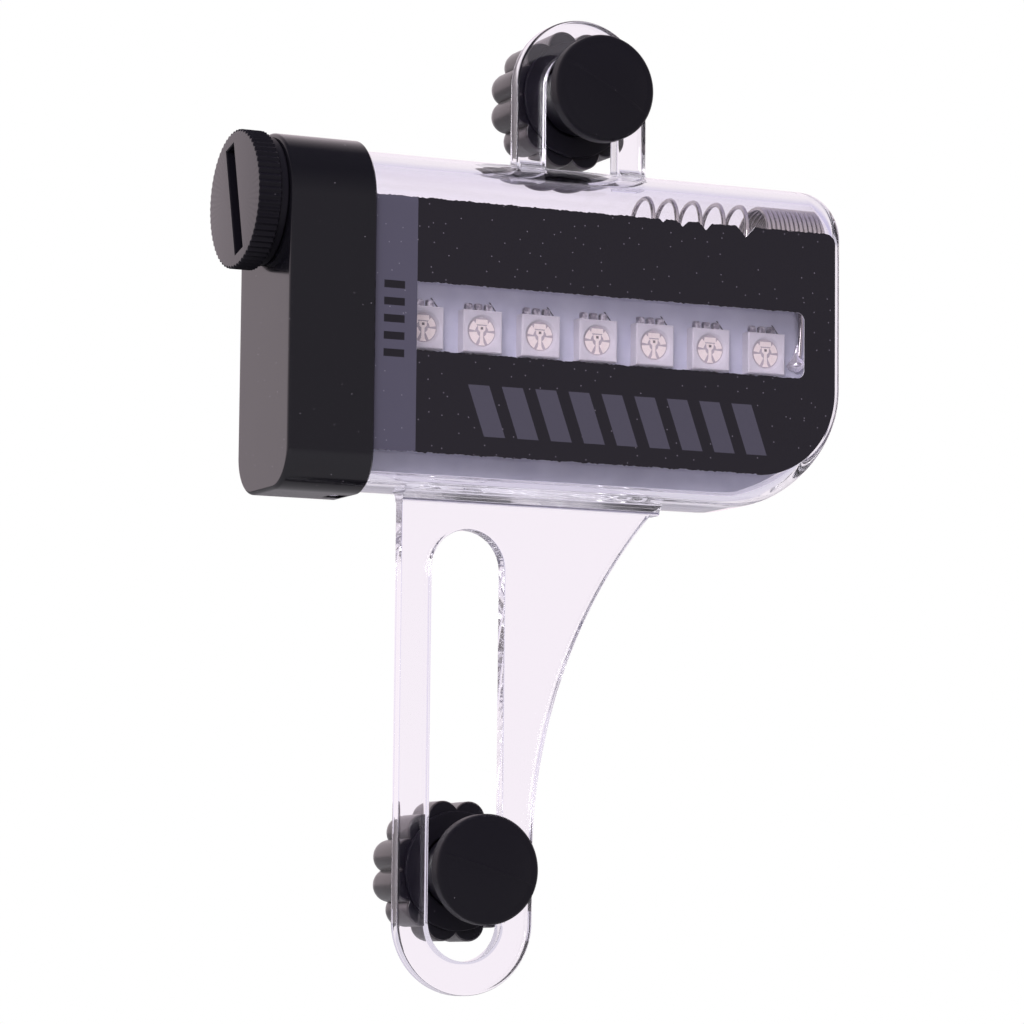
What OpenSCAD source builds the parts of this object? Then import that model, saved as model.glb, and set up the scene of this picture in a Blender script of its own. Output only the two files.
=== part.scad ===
// Clip-on light for a bicycle wheel: a clear moulded case with a slotted ear and a
// slotted arm, a black end cap with a screw-in battery cap, a circuit board with a row
// of LEDs on each side, and two clamps that grip the spokes.
// Millimetres. X runs along the case, the front is -Y and +Z is up. The origin lies on
// the axis of the upper clamp, in the mid-plane of the ear.

/* [Case] */
// Thickness of the case, whose top edge is a full round
case_t = 13.8; // [13:0.1:16]
// Height of the case
case_h = 39.7; // [38:0.1:46]
// Length of the case, from its open end to the crown of its closed end
case_len = 70.7; // [69:0.1:84]
// Radius of the two lower edges of the case
foot_r = 3.7; // [3:0.1:3.8]
// Wall of the case
case_wall = 1.4; // [1:0.05:1.5]
// Radius of the slightly domed closed end, seen from above
end_dome_r = 14.3; // [11:0.1:40]
// Radius of the flatter closed end of the cavity, seen from above
cavity_dome_r = 30; // [20:0.5:60]
// Radius of the upper corner at the closed end, seen from the front
corner_top_r = 4; // [2:0.1:8]
// Radius of the lower corner at the closed end, seen from the front
corner_low_r = 15.6; // [8:0.1:18]

/* [Ear and arm] */
// Thickness of the ear and the arm
plate_t = 2.1; // [1.6:0.1:2.6]
// Radius of the fillet between the plates and the case
root_r = 1.2; // [0.6:0.1:1.4]
// Distance from the top of the case to the axis of the upper clamp
ear_rise = 9; // [8.8:0.1:12]
// Width of the ear
ear_w = 17.1; // [15:0.1:20]
// Height of the ear above the axis of the upper clamp
ear_top = 9.3; // [9.2:0.1:12]
// Play of the upper clamp above its place in the ear's slot
ear_play = 0.75; // [0.3:0.05:1]
// Width of the slots in the ear and the arm
slot_w = 9.3; // [9.1:0.05:10]
// Width of the arm
arm_w = 17.2; // [15:0.1:20]
// Distance from the upper clamp's axis to the arm's centre line, towards the end cap
arm_offset = 14.2; // [13:0.1:17]
// Length of the arm below the case
arm_len = 58.5; // [50:0.1:70]
// Length of the slot in the arm
arm_slot_len = 50.4; // [42:0.1:50.6]
// Radius of the concave edge of the gusset
gusset_r = 63.3; // [60:0.1:90]
// Height above the arm's tip at which the gusset begins
gusset_rise = 16.2; // [10:0.1:22]

/* [End cap] */
// Distance from the outer face of the end cap to the axis of the upper clamp
cap_reach = 40; // [38:0.1:44]
// Length of the end cap
cap_len = 10.65; // [9:0.05:12]
// Wall of the end cap round the case
cap_wall = 1; // [0.8:0.05:1.4]
// Thickness of the end wall of the cap
cap_face = 2.4; // [2:0.1:3.2]
// Round on the outer edge of the cap's end face
cap_edge_r = 0.5; // [0.3:0.1:1.2]
// Length of the snap window in the cap's underside
snap_len = 2.1; // [1.6:0.1:2.4]
// Width of the snap window
snap_w = 3; // [2:0.1:4]
// Strip of cap left between the snap window and the rim
snap_margin = 0.5; // [0.4:0.1:1]

/* [Battery cap] */
// Diameter of the knurled head over its ridges
knob_d = 16.2; // [15.6:0.1:17]
// Length of the knurled head
knob_len = 2.9; // [2.4:0.1:4]
// Length of the smooth collar
collar_len = 1.05; // [1:0.05:1.6]
// Number of ridges round the head
knurl_count = 64; // [40:1:80]
// Depth of the knurl
knurl_depth = 0.35; // [0.2:0.05:0.5]
// Diameter of the threaded plug, over a plain thread
plug_d = 11.9; // [11.4:0.1:12.2]
// Length of the narrow nose inside the battery tube
nose_len = 1.3; // [0.8:0.1:2]
// Gap between the nose and the battery tube
nose_gap = 0.5; // [0.3:0.1:1]
// Length of the coin slot
coin_len = 13; // [9:0.1:14]
// Width of the coin slot
coin_w = 2.4; // [1.4:0.1:3]
// Depth of the coin slot
coin_depth = 1.6; // [0.8:0.1:2.2]
// Lean of the coin slot's lower end towards the front, in degrees
coin_lean = 15; // [0:1:90]
// Gap between the end cap's mouth and the sealing ring
seal_gap = 0.25; // [0.1:0.05:0.4]
// Lip of the smooth collar round the sealing ring
collar_lip = 0.2; // [0.15:0.05:0.3]
// Diameter of the section of the sealing ring
seal_d = 1; // [0.8:0.05:1.1]
// Thickness of the nickel contacts
contact_t = 0.3; // [0.2:0.05:0.4]

/* [Spring] */
// Diameter of the spring's wire
wire_d = 0.6; // [0.4:0.05:0.6]
// Outer diameter of the spring
spring_d = 9.5; // [8:0.1:9.8]
// Number of open turns
open_turns = 5.5; // [4:0.5:7]
// Pitch of the open turns
open_pitch = 3.15; // [2.4:0.05:3.6]
// Number of close turns
close_turns = 7; // [4:1:8]
// Pitch of the close turns
close_pitch = 1.1; // [1.05:0.01:1.2]

/* [Circuit board] */
// Thickness of the board
pcb_t = 1.6; // [1:0.1:2]
// Distance from the open end of the case to the board
pcb_inset = 1; // [0.6:0.1:2]
// Gap between the right end of the board and the crown of the cavity
pcb_end_gap = 1.6; // [1:0.1:3]
// Diameter of the battery that the tube takes
battery_d = 10.5; // [10:0.1:10.6]
// Height of the LED row above the bottom of the case
led_rise = 19.1; // [18:0.1:20]
// Number of LEDs on each side
led_count = 7; // [5:1:7]
// Distance from the left end of the board to the middle of the first LED
led_inset = 15.36; // [14:0.01:17]
// Distance from the right end of the board to the middle of the last LED
led_end_inset = 6.16; // [5.6:0.01:8]
// Side of an LED's square body
led_size = 5; // [4.8:0.1:5.2]
// Height of an LED
led_h = 1.6; // [1.4:0.1:1.8]
// Diameter of an LED's resin-filled cup
led_cup_d = 4; // [3.2:0.1:4.2]
// Height of the driver circuit's row above the bottom of the case
circuit_rise = 9.4; // [8.8:0.1:10.4]
// Distance from the left end of the board to the column of resistors
resistors_inset = 20.5; // [18:0.1:23]
// Distance from the resistors to the controller chip
chip_step = 7; // [5:0.1:8]
// Distance from the controller chip to the filter capacitor
capacitor_step = 9; // [6:0.1:10]
// Distance from the filter capacitor to the boost inductor
inductor_step = 8; // [6:0.1:10]
// Distance from the left end of the board to the middle of the motion switch
switch_inset = 30.5; // [20:0.1:40]
// Distance from the right end of the board to the spring's lead
lead_inset = 1.2; // [1:0.1:1.6]

/* [Label] */
// Thickness of the printed film
film_t = 0.15; // [0.1:0.05:0.25]
// Distance from the top of the case to the film's upper edge
film_drop = 6; // [5:0.1:8]
// Distance from the bottom of the case to the film's lower edge
film_rise = 3.7; // [3:0.1:6]
// Strip of case left between the film and the closed end's flat edge
film_margin = 0.25; // [0.2:0.05:1]
// Radius of the film's lower right corner
film_corner_r = 10.7; // [8:0.1:14]
// Width of the grey band between the end cap and the window
band_w = 5.4; // [4:0.1:6]
// Strip of film between the window and the film's right edge
window_margin = 4.2; // [3:0.1:8]
// Height of the window
window_h = 8; // [6:0.1:10]
// Height of the window's middle above the bottom of the case
window_rise = 19.7; // [18:0.1:21]
// Radius of the window's corners
window_r = 1; // [0.4:0.1:2]

/* [Clamps] */
// Height of the lower clamp's axis above the arm's tip
clamp_rise = 14.5; // [9:0.1:48]
// Diameter of the domed head
head_d = 12.8; // [11:0.1:14]
// Height of the head's rim
rim_h = 2; // [1.2:0.1:3]
// Height of the dome above the rim
dome_h = 1.3; // [0.8:0.1:2.5]
// Round on the head's front edge
head_edge_r = 0.8; // [0.4:0.1:1]
// Round on the head's back edge
head_back_r = 0.4; // [0.2:0.1:0.5]
// Gap between the head and the plate, which takes the spoke
spoke_gap = 4.35; // [3:0.05:6]
// Diameter of the bolt's thread, over a plain thread
thread_d = 5; // [4:0.1:6]
// Length of the thread
thread_len = 5.2; // [4.6:0.1:6]
// Outer diameter of the washer
washer_d = 14; // [11:0.1:15]
// Thickness of the washer
washer_t = 0.5; // [0.4:0.1:0.8]
// Number of lobes on the thumb nut
lobe_count = 12; // [8:1:14]
// Diameter of a lobe
lobe_d = 4; // [3.6:0.1:4.6]
// Diameter of the circle on which the lobes stand
lobe_circle_d = 12.8; // [12:0.1:13.4]
// Thickness of the thumb nut
nut_h = 7.25; // [5.5:0.05:8]
// Depth by which the nut's back lies below the ends of its lobes
nut_dish = 1.2; // [0.6:0.1:1.8]
// Depth of the counterbore that takes the bolt's shoulder
nut_counterbore = 2.7; // [2.5:0.1:3.4]

/* [Hidden] */
$fn = 64;

// Clearances
cap_fit = 0.08;
film_fit = 0.03;
plug_fit = 0.06;
seal_fit = 0.05;
seal_squeeze = 0.02;
slide_fit = 0.05;
thread_fit = 0.06;
slot_fit = 0.25;
shoulder_fit = 0.1;
board_fit = 0.15;
lug_fit = 0.15;
lead_fit = 0.05;
seat_gap = 0.1;
// How far the rounding of the lobes' ends stands clear of their sides
lobe_ease = 0.15;
// How far one solid reaches into another that it is moulded with, or a cut past a face
overlap = 0.7;

// Places along the case
cap_left = -cap_reach;
cap_right = cap_left + cap_len;
case_left = cap_left + cap_face + seat_gap;
case_right = case_left + case_len;
case_r = case_t / 2;
cavity_r = case_r - case_wall;
flat_end_x = case_right - end_dome_r + sqrt(pow(end_dome_r, 2) - pow(case_r, 2));
// Places up the case
case_top = -ear_rise;
case_bottom = case_top - case_h;
tube_z = case_top - case_r;
// The arm
arm_tip = case_bottom - arm_len;
arm_end_z = arm_tip + arm_w / 2;
arm_right = -arm_offset + arm_w / 2;
lower_clamp_z = arm_tip + clamp_rise;
// The ear's fillets, tangent to the plate and to the case's round top
root_y = plate_t / 2 + root_r;
ear_root_drop = sqrt(pow(case_r + root_r, 2) - pow(root_y, 2)) - case_r;
ear_root_y = root_y * case_r / (case_r + root_r);
// The end cap
cap_bore_r = case_r + cap_fit;
cap_outer_r = cap_bore_r + cap_wall;
cap_foot_r = foot_r + cap_fit;
mouth_r = plug_d / 2 + plug_fit;
snap_right = cap_right - snap_margin;
// The battery cap
head_left = cap_left - seal_squeeze - collar_len - knob_len;
collar_right = cap_left - seal_squeeze - seat_gap;
nose_r = cavity_r - nose_gap;
nose_right = cap_left + cap_face + nose_len;
seal_r = seal_d / 2;
seal_ring_r = mouth_r + seal_gap + seal_r;
collar_r = seal_ring_r + seal_r + seal_fit + collar_lip;
seal_x = cap_left - seal_squeeze - seal_r;
// The spring
coil_r = (spring_d - wire_d) / 2;
spring_seat_x = case_right - case_wall - cavity_dome_r + sqrt(pow(cavity_dome_r, 2) - pow(spring_d / 2, 2));
spring_right = spring_seat_x - wire_d / 2 - seat_gap;
coil_turns = open_turns + close_turns;
rings_per_turn = 8;
wire_sides = 6;
close_len = close_turns * close_pitch;
// The board
pcb_left = case_left + pcb_inset;
pcb_right = case_right - case_wall - pcb_end_gap;
strip_top = tube_z - battery_d / 2 - lead_fit;
pcb_top = strip_top - contact_t;
led_z = case_bottom + led_rise;
led_start = pcb_left + led_inset;
led_pitch = (pcb_right - led_end_inset - led_start) / (led_count - 1);
pcb_face = pcb_t / 2;
lead_x = pcb_right - lead_inset;
circuit_z = case_bottom + circuit_rise;
resistors_x = pcb_left + resistors_inset;
chip_x = resistors_x + chip_step;
capacitor_x = chip_x + capacitor_step;
inductor_x = capacitor_x + inductor_step;
switch_x = pcb_left + switch_inset;
// The film
film_left = cap_right + seat_gap;
film_right = flat_end_x - film_margin;
film_top = case_top - film_drop;
film_bottom = case_bottom + film_rise;
window_left = film_left + band_w;
window_len = film_right - window_margin - window_left;
window_z = case_bottom + window_rise;
// The clamps, measured along their own axis from the mid-plane towards the front
head_back = plate_t / 2 + spoke_gap;
rim_front = head_back + rim_h;
head_r = head_d / 2;
dome_r = (pow(head_r, 2) + pow(dome_h, 2)) / (2 * dome_h);
dome_z = rim_front + dome_h - dome_r;
edge_z = dome_z + sqrt(pow(dome_r - head_edge_r, 2) - pow(head_r - head_edge_r, 2));
edge_r = (head_r - head_edge_r) * dome_r / (dome_r - head_edge_r);
shoulder_back = -(plate_t / 2 - slide_fit);
washer_front = -(plate_t / 2 + slide_fit);
nut_front = washer_front - washer_t - slide_fit;
nut_back = nut_front - nut_h;
shoulder_r = slot_w / 2 - slot_fit;
shoulder_bore_r = shoulder_r + shoulder_fit;

// The waste between a square corner at [x, y] and a round of radius r inside it.
// sx and sy point from the corner into the shape.
module corner_waste(x, y, r, sx, sy) {
    difference() {
        translate([x - (sx > 0 ? overlap : r), y - (sy > 0 ? overlap : r)])
            square(r + overlap);
        translate([x + sx * r, y + sy * r])
            circle(r);
    }
}

// Half the section of a slab, radius to the right and length upwards, with a round at its start
module half_section(r, x0, x1, edge) {
    difference() {
        translate([0, x0])
            square([r, x1 - x0]);
        if (edge > 0)
            corner_waste(r, x0, edge, -1, 1);
    }
}

// A slab along X with a full round of radius r along its top and two edges of radius foot below
module slab(r, foot, x0, x1, z0, z1, edge = 0) {
    half = r - foot;
    translate([0, 0, z1 - r])
        rotate([0, 90, 0])
            rotate_extrude()
                half_section(r, x0, x1, edge);
    translate([0, 0, z0 + foot])
        linear_extrude(z1 - r - z0 - foot)
            for (side = [0, 1])
                mirror([0, side])
                    rotate(-90)
                        half_section(r, x0, x1, edge);
    for (y = [-half, half])
        translate([0, y, z0 + foot])
            rotate([0, 90, 0])
                rotate_extrude()
                    half_section(foot, x0, x1, edge);
    translate([0, half, z0 + foot])
        rotate([0, 90, 0])
            rotate([90, 0, 0])
                linear_extrude(2 * half)
                    half_section(foot, x0, x1, edge);
}

// Stands a shape drawn in X and Z upright, so thick and centred on the mid-plane
module upright(thickness) {
    rotate([90, 0, 0])
        linear_extrude(thickness, center = true)
            children();
}

// The form of the case, drawn in by an inset on every side but its open end, with a domed closed end
module case_form(inset, x0, dome) {
    right = case_right - inset;
    low = case_bottom + inset;
    high = case_top - inset;
    intersection() {
        slab(case_r - inset, foot_r - inset, x0, right, low, high);
        upright(case_t)
            difference() {
                translate([x0, low])
                    square([right - x0, high - low]);
                corner_waste(right, high, corner_top_r - inset, -1, -1);
                corner_waste(right, low, corner_low_r - inset, -1, 1);
            }
        translate([0, 0, low])
            linear_extrude(high - low)
                union() {
                    translate([x0, -case_r])
                        square([right - dome - x0, case_t]);
                    translate([right - dome, 0])
                        circle(dome, $fn = 180);
                }
    }
}

// The fillet along both faces of a plate that runs from x0 to x1 below the case.
// It reaches down by drop on the plate, and out to edge_y on the case.
module root_fillet(x0, x1, drop, edge_y) {
    for (side = [0, 1])
        mirror([0, side, 0])
            translate([x0, 0, case_bottom])
                rotate([90, 0, 90])
                    linear_extrude(x1 - x0)
                        difference() {
                            translate([0, -drop])
                                square([edge_y, drop + overlap]);
                            translate([root_y, -drop])
                                circle(root_r);
                        }
}

// A slot with round ends between two heights on the line X = x
module slot(x, z0, z1) {
    translate([x - slot_w / 2, z0])
        square([slot_w, z1 - z0]);
    for (z = [z0, z1])
        translate([x, z])
            circle(slot_w / 2);
}

module arm_plate() {
    upright(plate_t)
        difference() {
            union() {
                translate([-arm_offset - arm_w / 2, arm_end_z])
                    square([arm_w, case_bottom + overlap - arm_end_z]);
                translate([-arm_offset, arm_end_z])
                    circle(arm_w / 2);
                difference() {
                    translate([arm_right - overlap, arm_tip + gusset_rise])
                        square([gusset_r, case_bottom + overlap - arm_tip - gusset_rise]);
                    translate([arm_right + gusset_r, arm_tip + gusset_rise])
                        circle(gusset_r);
                }
            }
            slot(-arm_offset, arm_end_z, arm_end_z + arm_slot_len - slot_w);
        }
}

module ear_plate() {
    upright(plate_t)
        difference() {
            union() {
                translate([-ear_w / 2, case_top - overlap])
                    square([ear_w, ear_top - ear_w / 2 - case_top + overlap]);
                translate([0, ear_top - ear_w / 2])
                    circle(ear_w / 2);
            }
            slot(0, case_top, ear_play);
        }
}

// Where the gusset's edge meets the underside of the case
gusset_end = arm_right + gusset_r
    - sqrt(pow(gusset_r, 2) - pow(case_bottom - arm_tip - gusset_rise, 2));

module clear_case() {
    color([0.85, 0.87, 0.92, 0.4])
    difference() {
        union() {
            case_form(0, case_left, end_dome_r);
            arm_plate();
            root_fillet(-arm_offset - arm_w / 2, gusset_end, root_r, root_y);
            ear_plate();
            for (x = [-ear_w / 2, slot_w / 2])
                translate([0, 0, case_top + case_bottom])
                    mirror([0, 0, 1])
                        root_fillet(x, x + (ear_w - slot_w) / 2, ear_root_drop, ear_root_y);
            // Lug that snaps into the cap's window
            translate([snap_right - snap_len + lug_fit, -snap_w / 2 + lug_fit,
                       case_bottom - cap_wall + lug_fit])
                cube([snap_len - 2 * lug_fit, snap_w - 2 * lug_fit, cap_wall + overlap]);
        }
        case_form(case_wall, case_left - overlap, cavity_dome_r);
    }
}

module end_cap() {
    color([0.05, 0.05, 0.06])
    difference() {
        slab(cap_outer_r, cap_foot_r + cap_wall, cap_left, cap_right,
             case_bottom - cap_fit - cap_wall, case_top + cap_fit + cap_wall, cap_edge_r);
        slab(cap_bore_r, cap_foot_r, cap_left + cap_face, cap_right + overlap,
             case_bottom - cap_fit, case_top + cap_fit);
        translate([cap_left - overlap, 0, tube_z])
            rotate([0, 90, 0])
                cylinder(r = mouth_r, h = cap_face + 2 * overlap);
        translate([snap_right - snap_len, -snap_w / 2, case_bottom - cap_wall - overlap])
            cube([snap_len, snap_w, cap_wall + 2 * overlap]);
    }
}

// Outline of the knurled head: a round with evenly spaced pointed ridges
function knurl_outline(r, depth, count) =
    [for (i = [0:2 * count - 1])
        let (a = 180 * i / count, k = r - (i % 2) * depth)
        [k * cos(a), k * sin(a)]];

module battery_cap() {
    color([0.07, 0.07, 0.08])
    translate([0, 0, tube_z])
    difference() {
        rotate([0, 90, 0])
            union() {
                translate([0, 0, head_left])
                    linear_extrude(knob_len)
                        polygon(knurl_outline(knob_d / 2, knurl_depth, knurl_count));
                translate([0, 0, head_left + knob_len - overlap])
                    cylinder(r = collar_r, h = collar_right - head_left - knob_len + overlap);
                translate([0, 0, collar_right - overlap])
                    cylinder(d = plug_d, h = cap_left + cap_face - collar_right + overlap);
                translate([0, 0, cap_left])
                    cylinder(r = nose_r, h = nose_right - cap_left);
            }
        // Groove that holds the sealing ring
        rotate([0, 90, 0])
            rotate_extrude()
                translate([seal_ring_r - seal_r - seal_fit, seal_x - seal_r - seal_fit])
                    square([seal_d + 2 * seal_fit, seal_d + overlap]);
        // Coin slot
        rotate([-coin_lean, 0, 0])
            translate([head_left - overlap, -coin_w / 2, -coin_len / 2])
                cube([coin_depth + overlap, coin_w, coin_len]);
    }
}

module battery_cap_seal() {
    color([0.15, 0.15, 0.15])
    translate([seal_x, 0, tube_z])
        rotate([0, 90, 0])
            rotate_extrude()
                translate([seal_ring_r, 0])
                    circle(seal_r);
}

module battery_cap_contact() {
    color([0.8, 0.79, 0.75])
    translate([nose_right, 0, tube_z])
        rotate([0, 90, 0])
            cylinder(r = nose_r - 2 * contact_t, h = contact_t);
}

// Bent strip: a tab that faces the battery cap's contact and a foot on the board's upper edge
module contact_strip() {
    strip_w = 4;
    foot_len = 6;
    tab_h = 2.6;
    strip_left = nose_right + contact_t + lead_fit;
    color([0.8, 0.79, 0.75])
    union() {
        translate([strip_left, -strip_w / 2, pcb_top])
            cube([contact_t, strip_w, tab_h]);
        translate([strip_left, -strip_w / 2, pcb_top])
            cube([foot_len, strip_w, contact_t]);
    }
}

// The spring's centre line turns about X, close turns first, from its right end to its left
function coil_x(t) =
    spring_right - (t < close_turns
        ? t * close_pitch
        : close_len + (t - close_turns) * open_pitch);
function coil_point(t) = [coil_x(t), coil_r * cos(360 * t), tube_z + coil_r * sin(360 * t)];
function unit(v) = v / norm(v);
function coil_along(t) =
    let (step = 0.01)
    unit(coil_point(t + step) - coil_point(t - step));
function coil_out(t) = [0, cos(360 * t), sin(360 * t)];
// One ring of the wire round its centre line
function wire_ring(centre, along, out) =
    let (side = cross(along, out))
    [for (j = [0:wire_sides - 1])
        centre + wire_d / 2 * (cos(360 * j / wire_sides) * out + sin(360 * j / wire_sides) * side)];

coil_steps = [for (i = [0:coil_turns * rings_per_turn]) i / rings_per_turn];
coil_ends = [coil_point(0) - wire_d * coil_along(0),
             coil_point(coil_turns) + wire_d * coil_along(coil_turns)];
coil_rings = concat(
    [wire_ring(coil_ends[0], coil_along(0), coil_out(0))],
    [for (t = coil_steps) wire_ring(coil_point(t), coil_along(t), coil_out(t))],
    [wire_ring(coil_ends[1], coil_along(coil_turns), coil_out(coil_turns))]);
coil_gap = min([for (i = [0:len(coil_steps) - 1])
    for (j = [i + rings_per_turn / 2:1:len(coil_steps) - 1])
        norm(coil_point(coil_steps[i]) - coil_point(coil_steps[j]))]) - wire_d;
echo(spring_least_gap_to_itself = coil_gap);

module battery_spring() {
    rings = len(coil_rings);
    last = (rings - 1) * wire_sides;
    walls = [for (i = [0:rings - 2])
        for (j = [0:wire_sides - 1])
            let (a = i * wire_sides + j, b = i * wire_sides + (j + 1) % wire_sides)
            each [[a, b, a + wire_sides], [b, b + wire_sides, a + wire_sides]]];
    start_cap = [for (j = [1:wire_sides - 2]) [0, j + 1, j]];
    end_cap_faces = [for (j = [1:wire_sides - 2]) [last, last + j, last + j + 1]];
    color([0.75, 0.75, 0.77])
    polyhedron([for (ring = coil_rings) each ring], concat(walls, start_cap, end_cap_faces));
}

// Wire that runs down from the spring to a solder blob on the board's face
module spring_lead() {
    blob_r = 0.9;
    lead_low = led_z - 1;
    lead_high = tube_z - spring_d / 2 - seat_gap;
    lead_y = -pcb_face - lead_fit - wire_d / 2;
    color([0.75, 0.75, 0.77])
    union() {
        translate([lead_x, lead_y, lead_low])
            cylinder(d = wire_d, h = lead_high - lead_low);
        intersection() {
            translate([lead_x, -pcb_face, lead_low])
                sphere(blob_r);
            translate([lead_x - blob_r, -pcb_face - blob_r, lead_low - blob_r])
                cube([2 * blob_r, blob_r, 2 * blob_r]);
        }
    }
}

module pcb() {
    color([0.88, 0.89, 0.93])
    intersection() {
        case_form(case_wall + board_fit, pcb_left, cavity_dome_r);
        translate([pcb_left, -pcb_face, case_bottom])
            cube([pcb_right - pcb_left, pcb_t, pcb_top - case_bottom]);
    }
}

// Puts a piece drawn with its foot on Z = 0 on the board, in front (side -1) or behind (side 1)
module on_board(x, z, side) {
    translate([x, side * pcb_face, z])
        rotate([side * -90, 0, 0])
            children();
}

// Square LED: a white body with a round cup, and three leads at its top and its bottom edge
module led(i, side) {
    cup_depth = 0.5;
    leg_w = 0.9;
    leg_h = 0.8;
    leg_out = 0.35;
    leg_pitch = 1.6;
    color([0.93, 0.93, 0.9])
    on_board(led_start + (i - 1) * led_pitch, led_z, side)
    difference() {
        union() {
            translate([-led_size / 2, -led_size / 2, 0])
                cube([led_size, led_size, led_h]);
            for (k = [-1:1])
                translate([k * leg_pitch - leg_w / 2, -led_size / 2 - leg_out, 0])
                    cube([leg_w, led_size + 2 * leg_out, leg_h]);
        }
        translate([0, 0, led_h - cup_depth])
            cylinder(d = led_cup_d, h = cup_depth + overlap);
    }
}

module controller_chip() {
    chip = [4.9, 3.9, 1.5];
    leg = [0.42, 1, 0.25];
    leg_pitch = 1.27;
    stand_off = 0.1;
    color([0.08, 0.08, 0.09])
    on_board(chip_x, circuit_z, -1)
    union() {
        translate([-chip.x / 2, -chip.y / 2, stand_off])
            cube([chip.x, chip.y, chip.z]);
        for (k = [-1.5:1:1.5])
            translate([k * leg_pitch - leg.x / 2, -chip.y / 2 - leg.y, 0])
                cube([leg.x, chip.y + 2 * leg.y, leg.z]);
    }
}

module boost_inductor() {
    flange_r = 2.6;
    flange_h = 0.7;
    core_r = 1.9;
    height = 3.2;
    color([0.18, 0.17, 0.17])
    on_board(inductor_x, circuit_z, -1)
    union() {
        cylinder(r = core_r, h = height);
        for (z = [0, height - flange_h])
            translate([0, 0, z])
                cylinder(r = flange_r, h = flange_h);
    }
}

module filter_capacitor() {
    block = [3.5, 2.8, 1.9];
    color([0.72, 0.55, 0.2])
    on_board(capacitor_x, circuit_z, -1)
    translate([-block.x / 2, -block.y / 2, 0])
        cube(block);
}

module led_resistors() {
    chip = [1.6, 0.8, 0.45];
    spacing = 2;
    rows = 3;
    color([0.1, 0.1, 0.11])
    for (k = [0:rows - 1])
        on_board(resistors_x, circuit_z + (k - (rows - 1) / 2) * spacing, -1)
        translate([-chip.x / 2, -chip.y / 2, 0])
            cube(chip);
}

module motion_switch() {
    can_d = 3.2;
    can_len = 8;
    pin_d = 0.6;
    pin_len = 2;
    color([0.72, 0.72, 0.74])
    on_board(switch_x, circuit_z, 1)
    translate([-can_len / 2, 0, can_d / 2])
        rotate([0, 90, 0])
            union() {
                cylinder(d = can_d, h = can_len);
                translate([0, 0, -pin_len])
                    cylinder(d = pin_d, h = can_len + 2 * pin_len);
            }
}

// Printed film on the outside of the case, front (side -1) or back (side 1)
module film(side) {
    outer = film_fit + film_t;
    color([0.12, 0.11, 0.14])
    intersection() {
        difference() {
            slab(case_r + outer, foot_r + outer, film_left, film_right,
                 case_bottom - outer, case_top + outer);
            slab(case_r + film_fit, foot_r + film_fit, film_left - overlap, film_right + overlap,
                 case_bottom - film_fit, case_top + film_fit);
        }
        translate([0, side * case_t / 2, 0])
            upright(case_t)
                difference() {
                    translate([film_left, film_bottom])
                        square([film_right - film_left, film_top - film_bottom]);
                    corner_waste(film_right, film_bottom, film_corner_r, -1, 1);
                    translate([window_left, window_z - window_h / 2])
                        difference() {
                            square([window_len, window_h]);
                            corner_waste(window_len, window_h, window_r, -1, -1);
                            corner_waste(window_len, 0, window_r, -1, 1);
                        }
                }
    }
}

module label_front() { film(-1); }

module label_back() { film(1); }

// Lays a clamp's piece, drawn along Z with its head up, on the axis at [x, 0, z]
module clamp_axis(x, z) {
    translate([x, 0, z])
        rotate([90, 0, 0])
            children();
}

// Domed head, shoulder that runs in the slot, and thread
module clamp_bolt() {
    color([0.06, 0.06, 0.07])
    rotate_extrude()
        union() {
            difference() {
                intersection() {
                    translate([0, head_back])
                        square([head_r, rim_h + dome_h]);
                    translate([0, dome_z])
                        circle(dome_r, $fn = 200);
                }
                difference() {
                    translate([edge_r, edge_z])
                        square([head_r, dome_h + rim_h]);
                    translate([head_r - head_edge_r, edge_z])
                        circle(head_edge_r);
                }
                corner_waste(head_r, head_back, head_back_r, -1, 1);
            }
            translate([0, shoulder_back])
                square([shoulder_r, head_back + overlap - shoulder_back]);
            translate([0, shoulder_back - thread_len])
                square([thread_d / 2, thread_len + overlap]);
        }
}

// Outline of the thumb nut: lobes on a circle
module lobed_outline() {
    circle(d = lobe_circle_d);
    for (i = [0:lobe_count - 1])
        rotate((i + 0.5) * 360 / lobe_count)
            translate([lobe_circle_d / 2, 0])
                circle(d = lobe_d);
}

// Section of the thumb nut: a flat front, rounded lobe ends and a dished back
module nut_section() {
    lobe_circle_r = lobe_circle_d / 2;
    end_r = lobe_d / 2 + lobe_ease;
    translate([0, nut_back + nut_dish])
        square([lobe_circle_r, nut_h - nut_dish]);
    translate([0, nut_back + end_r])
        square([lobe_circle_r + end_r, nut_h - end_r]);
    translate([lobe_circle_r, nut_back + end_r])
        circle(end_r);
}

// Thumb nut with round-ended lobes, a counterbore for the shoulder and a through bore
module clamp_nut() {
    color([0.06, 0.06, 0.07])
    difference() {
        intersection() {
            translate([0, 0, nut_back])
                linear_extrude(nut_h)
                    lobed_outline();
            rotate_extrude()
                nut_section();
        }
        translate([0, 0, nut_back - overlap])
            cylinder(d = thread_d + 2 * thread_fit, h = nut_h + 2 * overlap);
        translate([0, 0, nut_front - nut_counterbore])
            cylinder(r = shoulder_bore_r, h = nut_counterbore + overlap);
    }
}

module clamp_washer() {
    color([0.1, 0.1, 0.11])
    translate([0, 0, washer_front - washer_t])
        difference() {
            cylinder(d = washer_d, h = washer_t);
            translate([0, 0, -overlap])
                cylinder(r = shoulder_bore_r, h = washer_t + 2 * overlap);
        }
}

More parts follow.
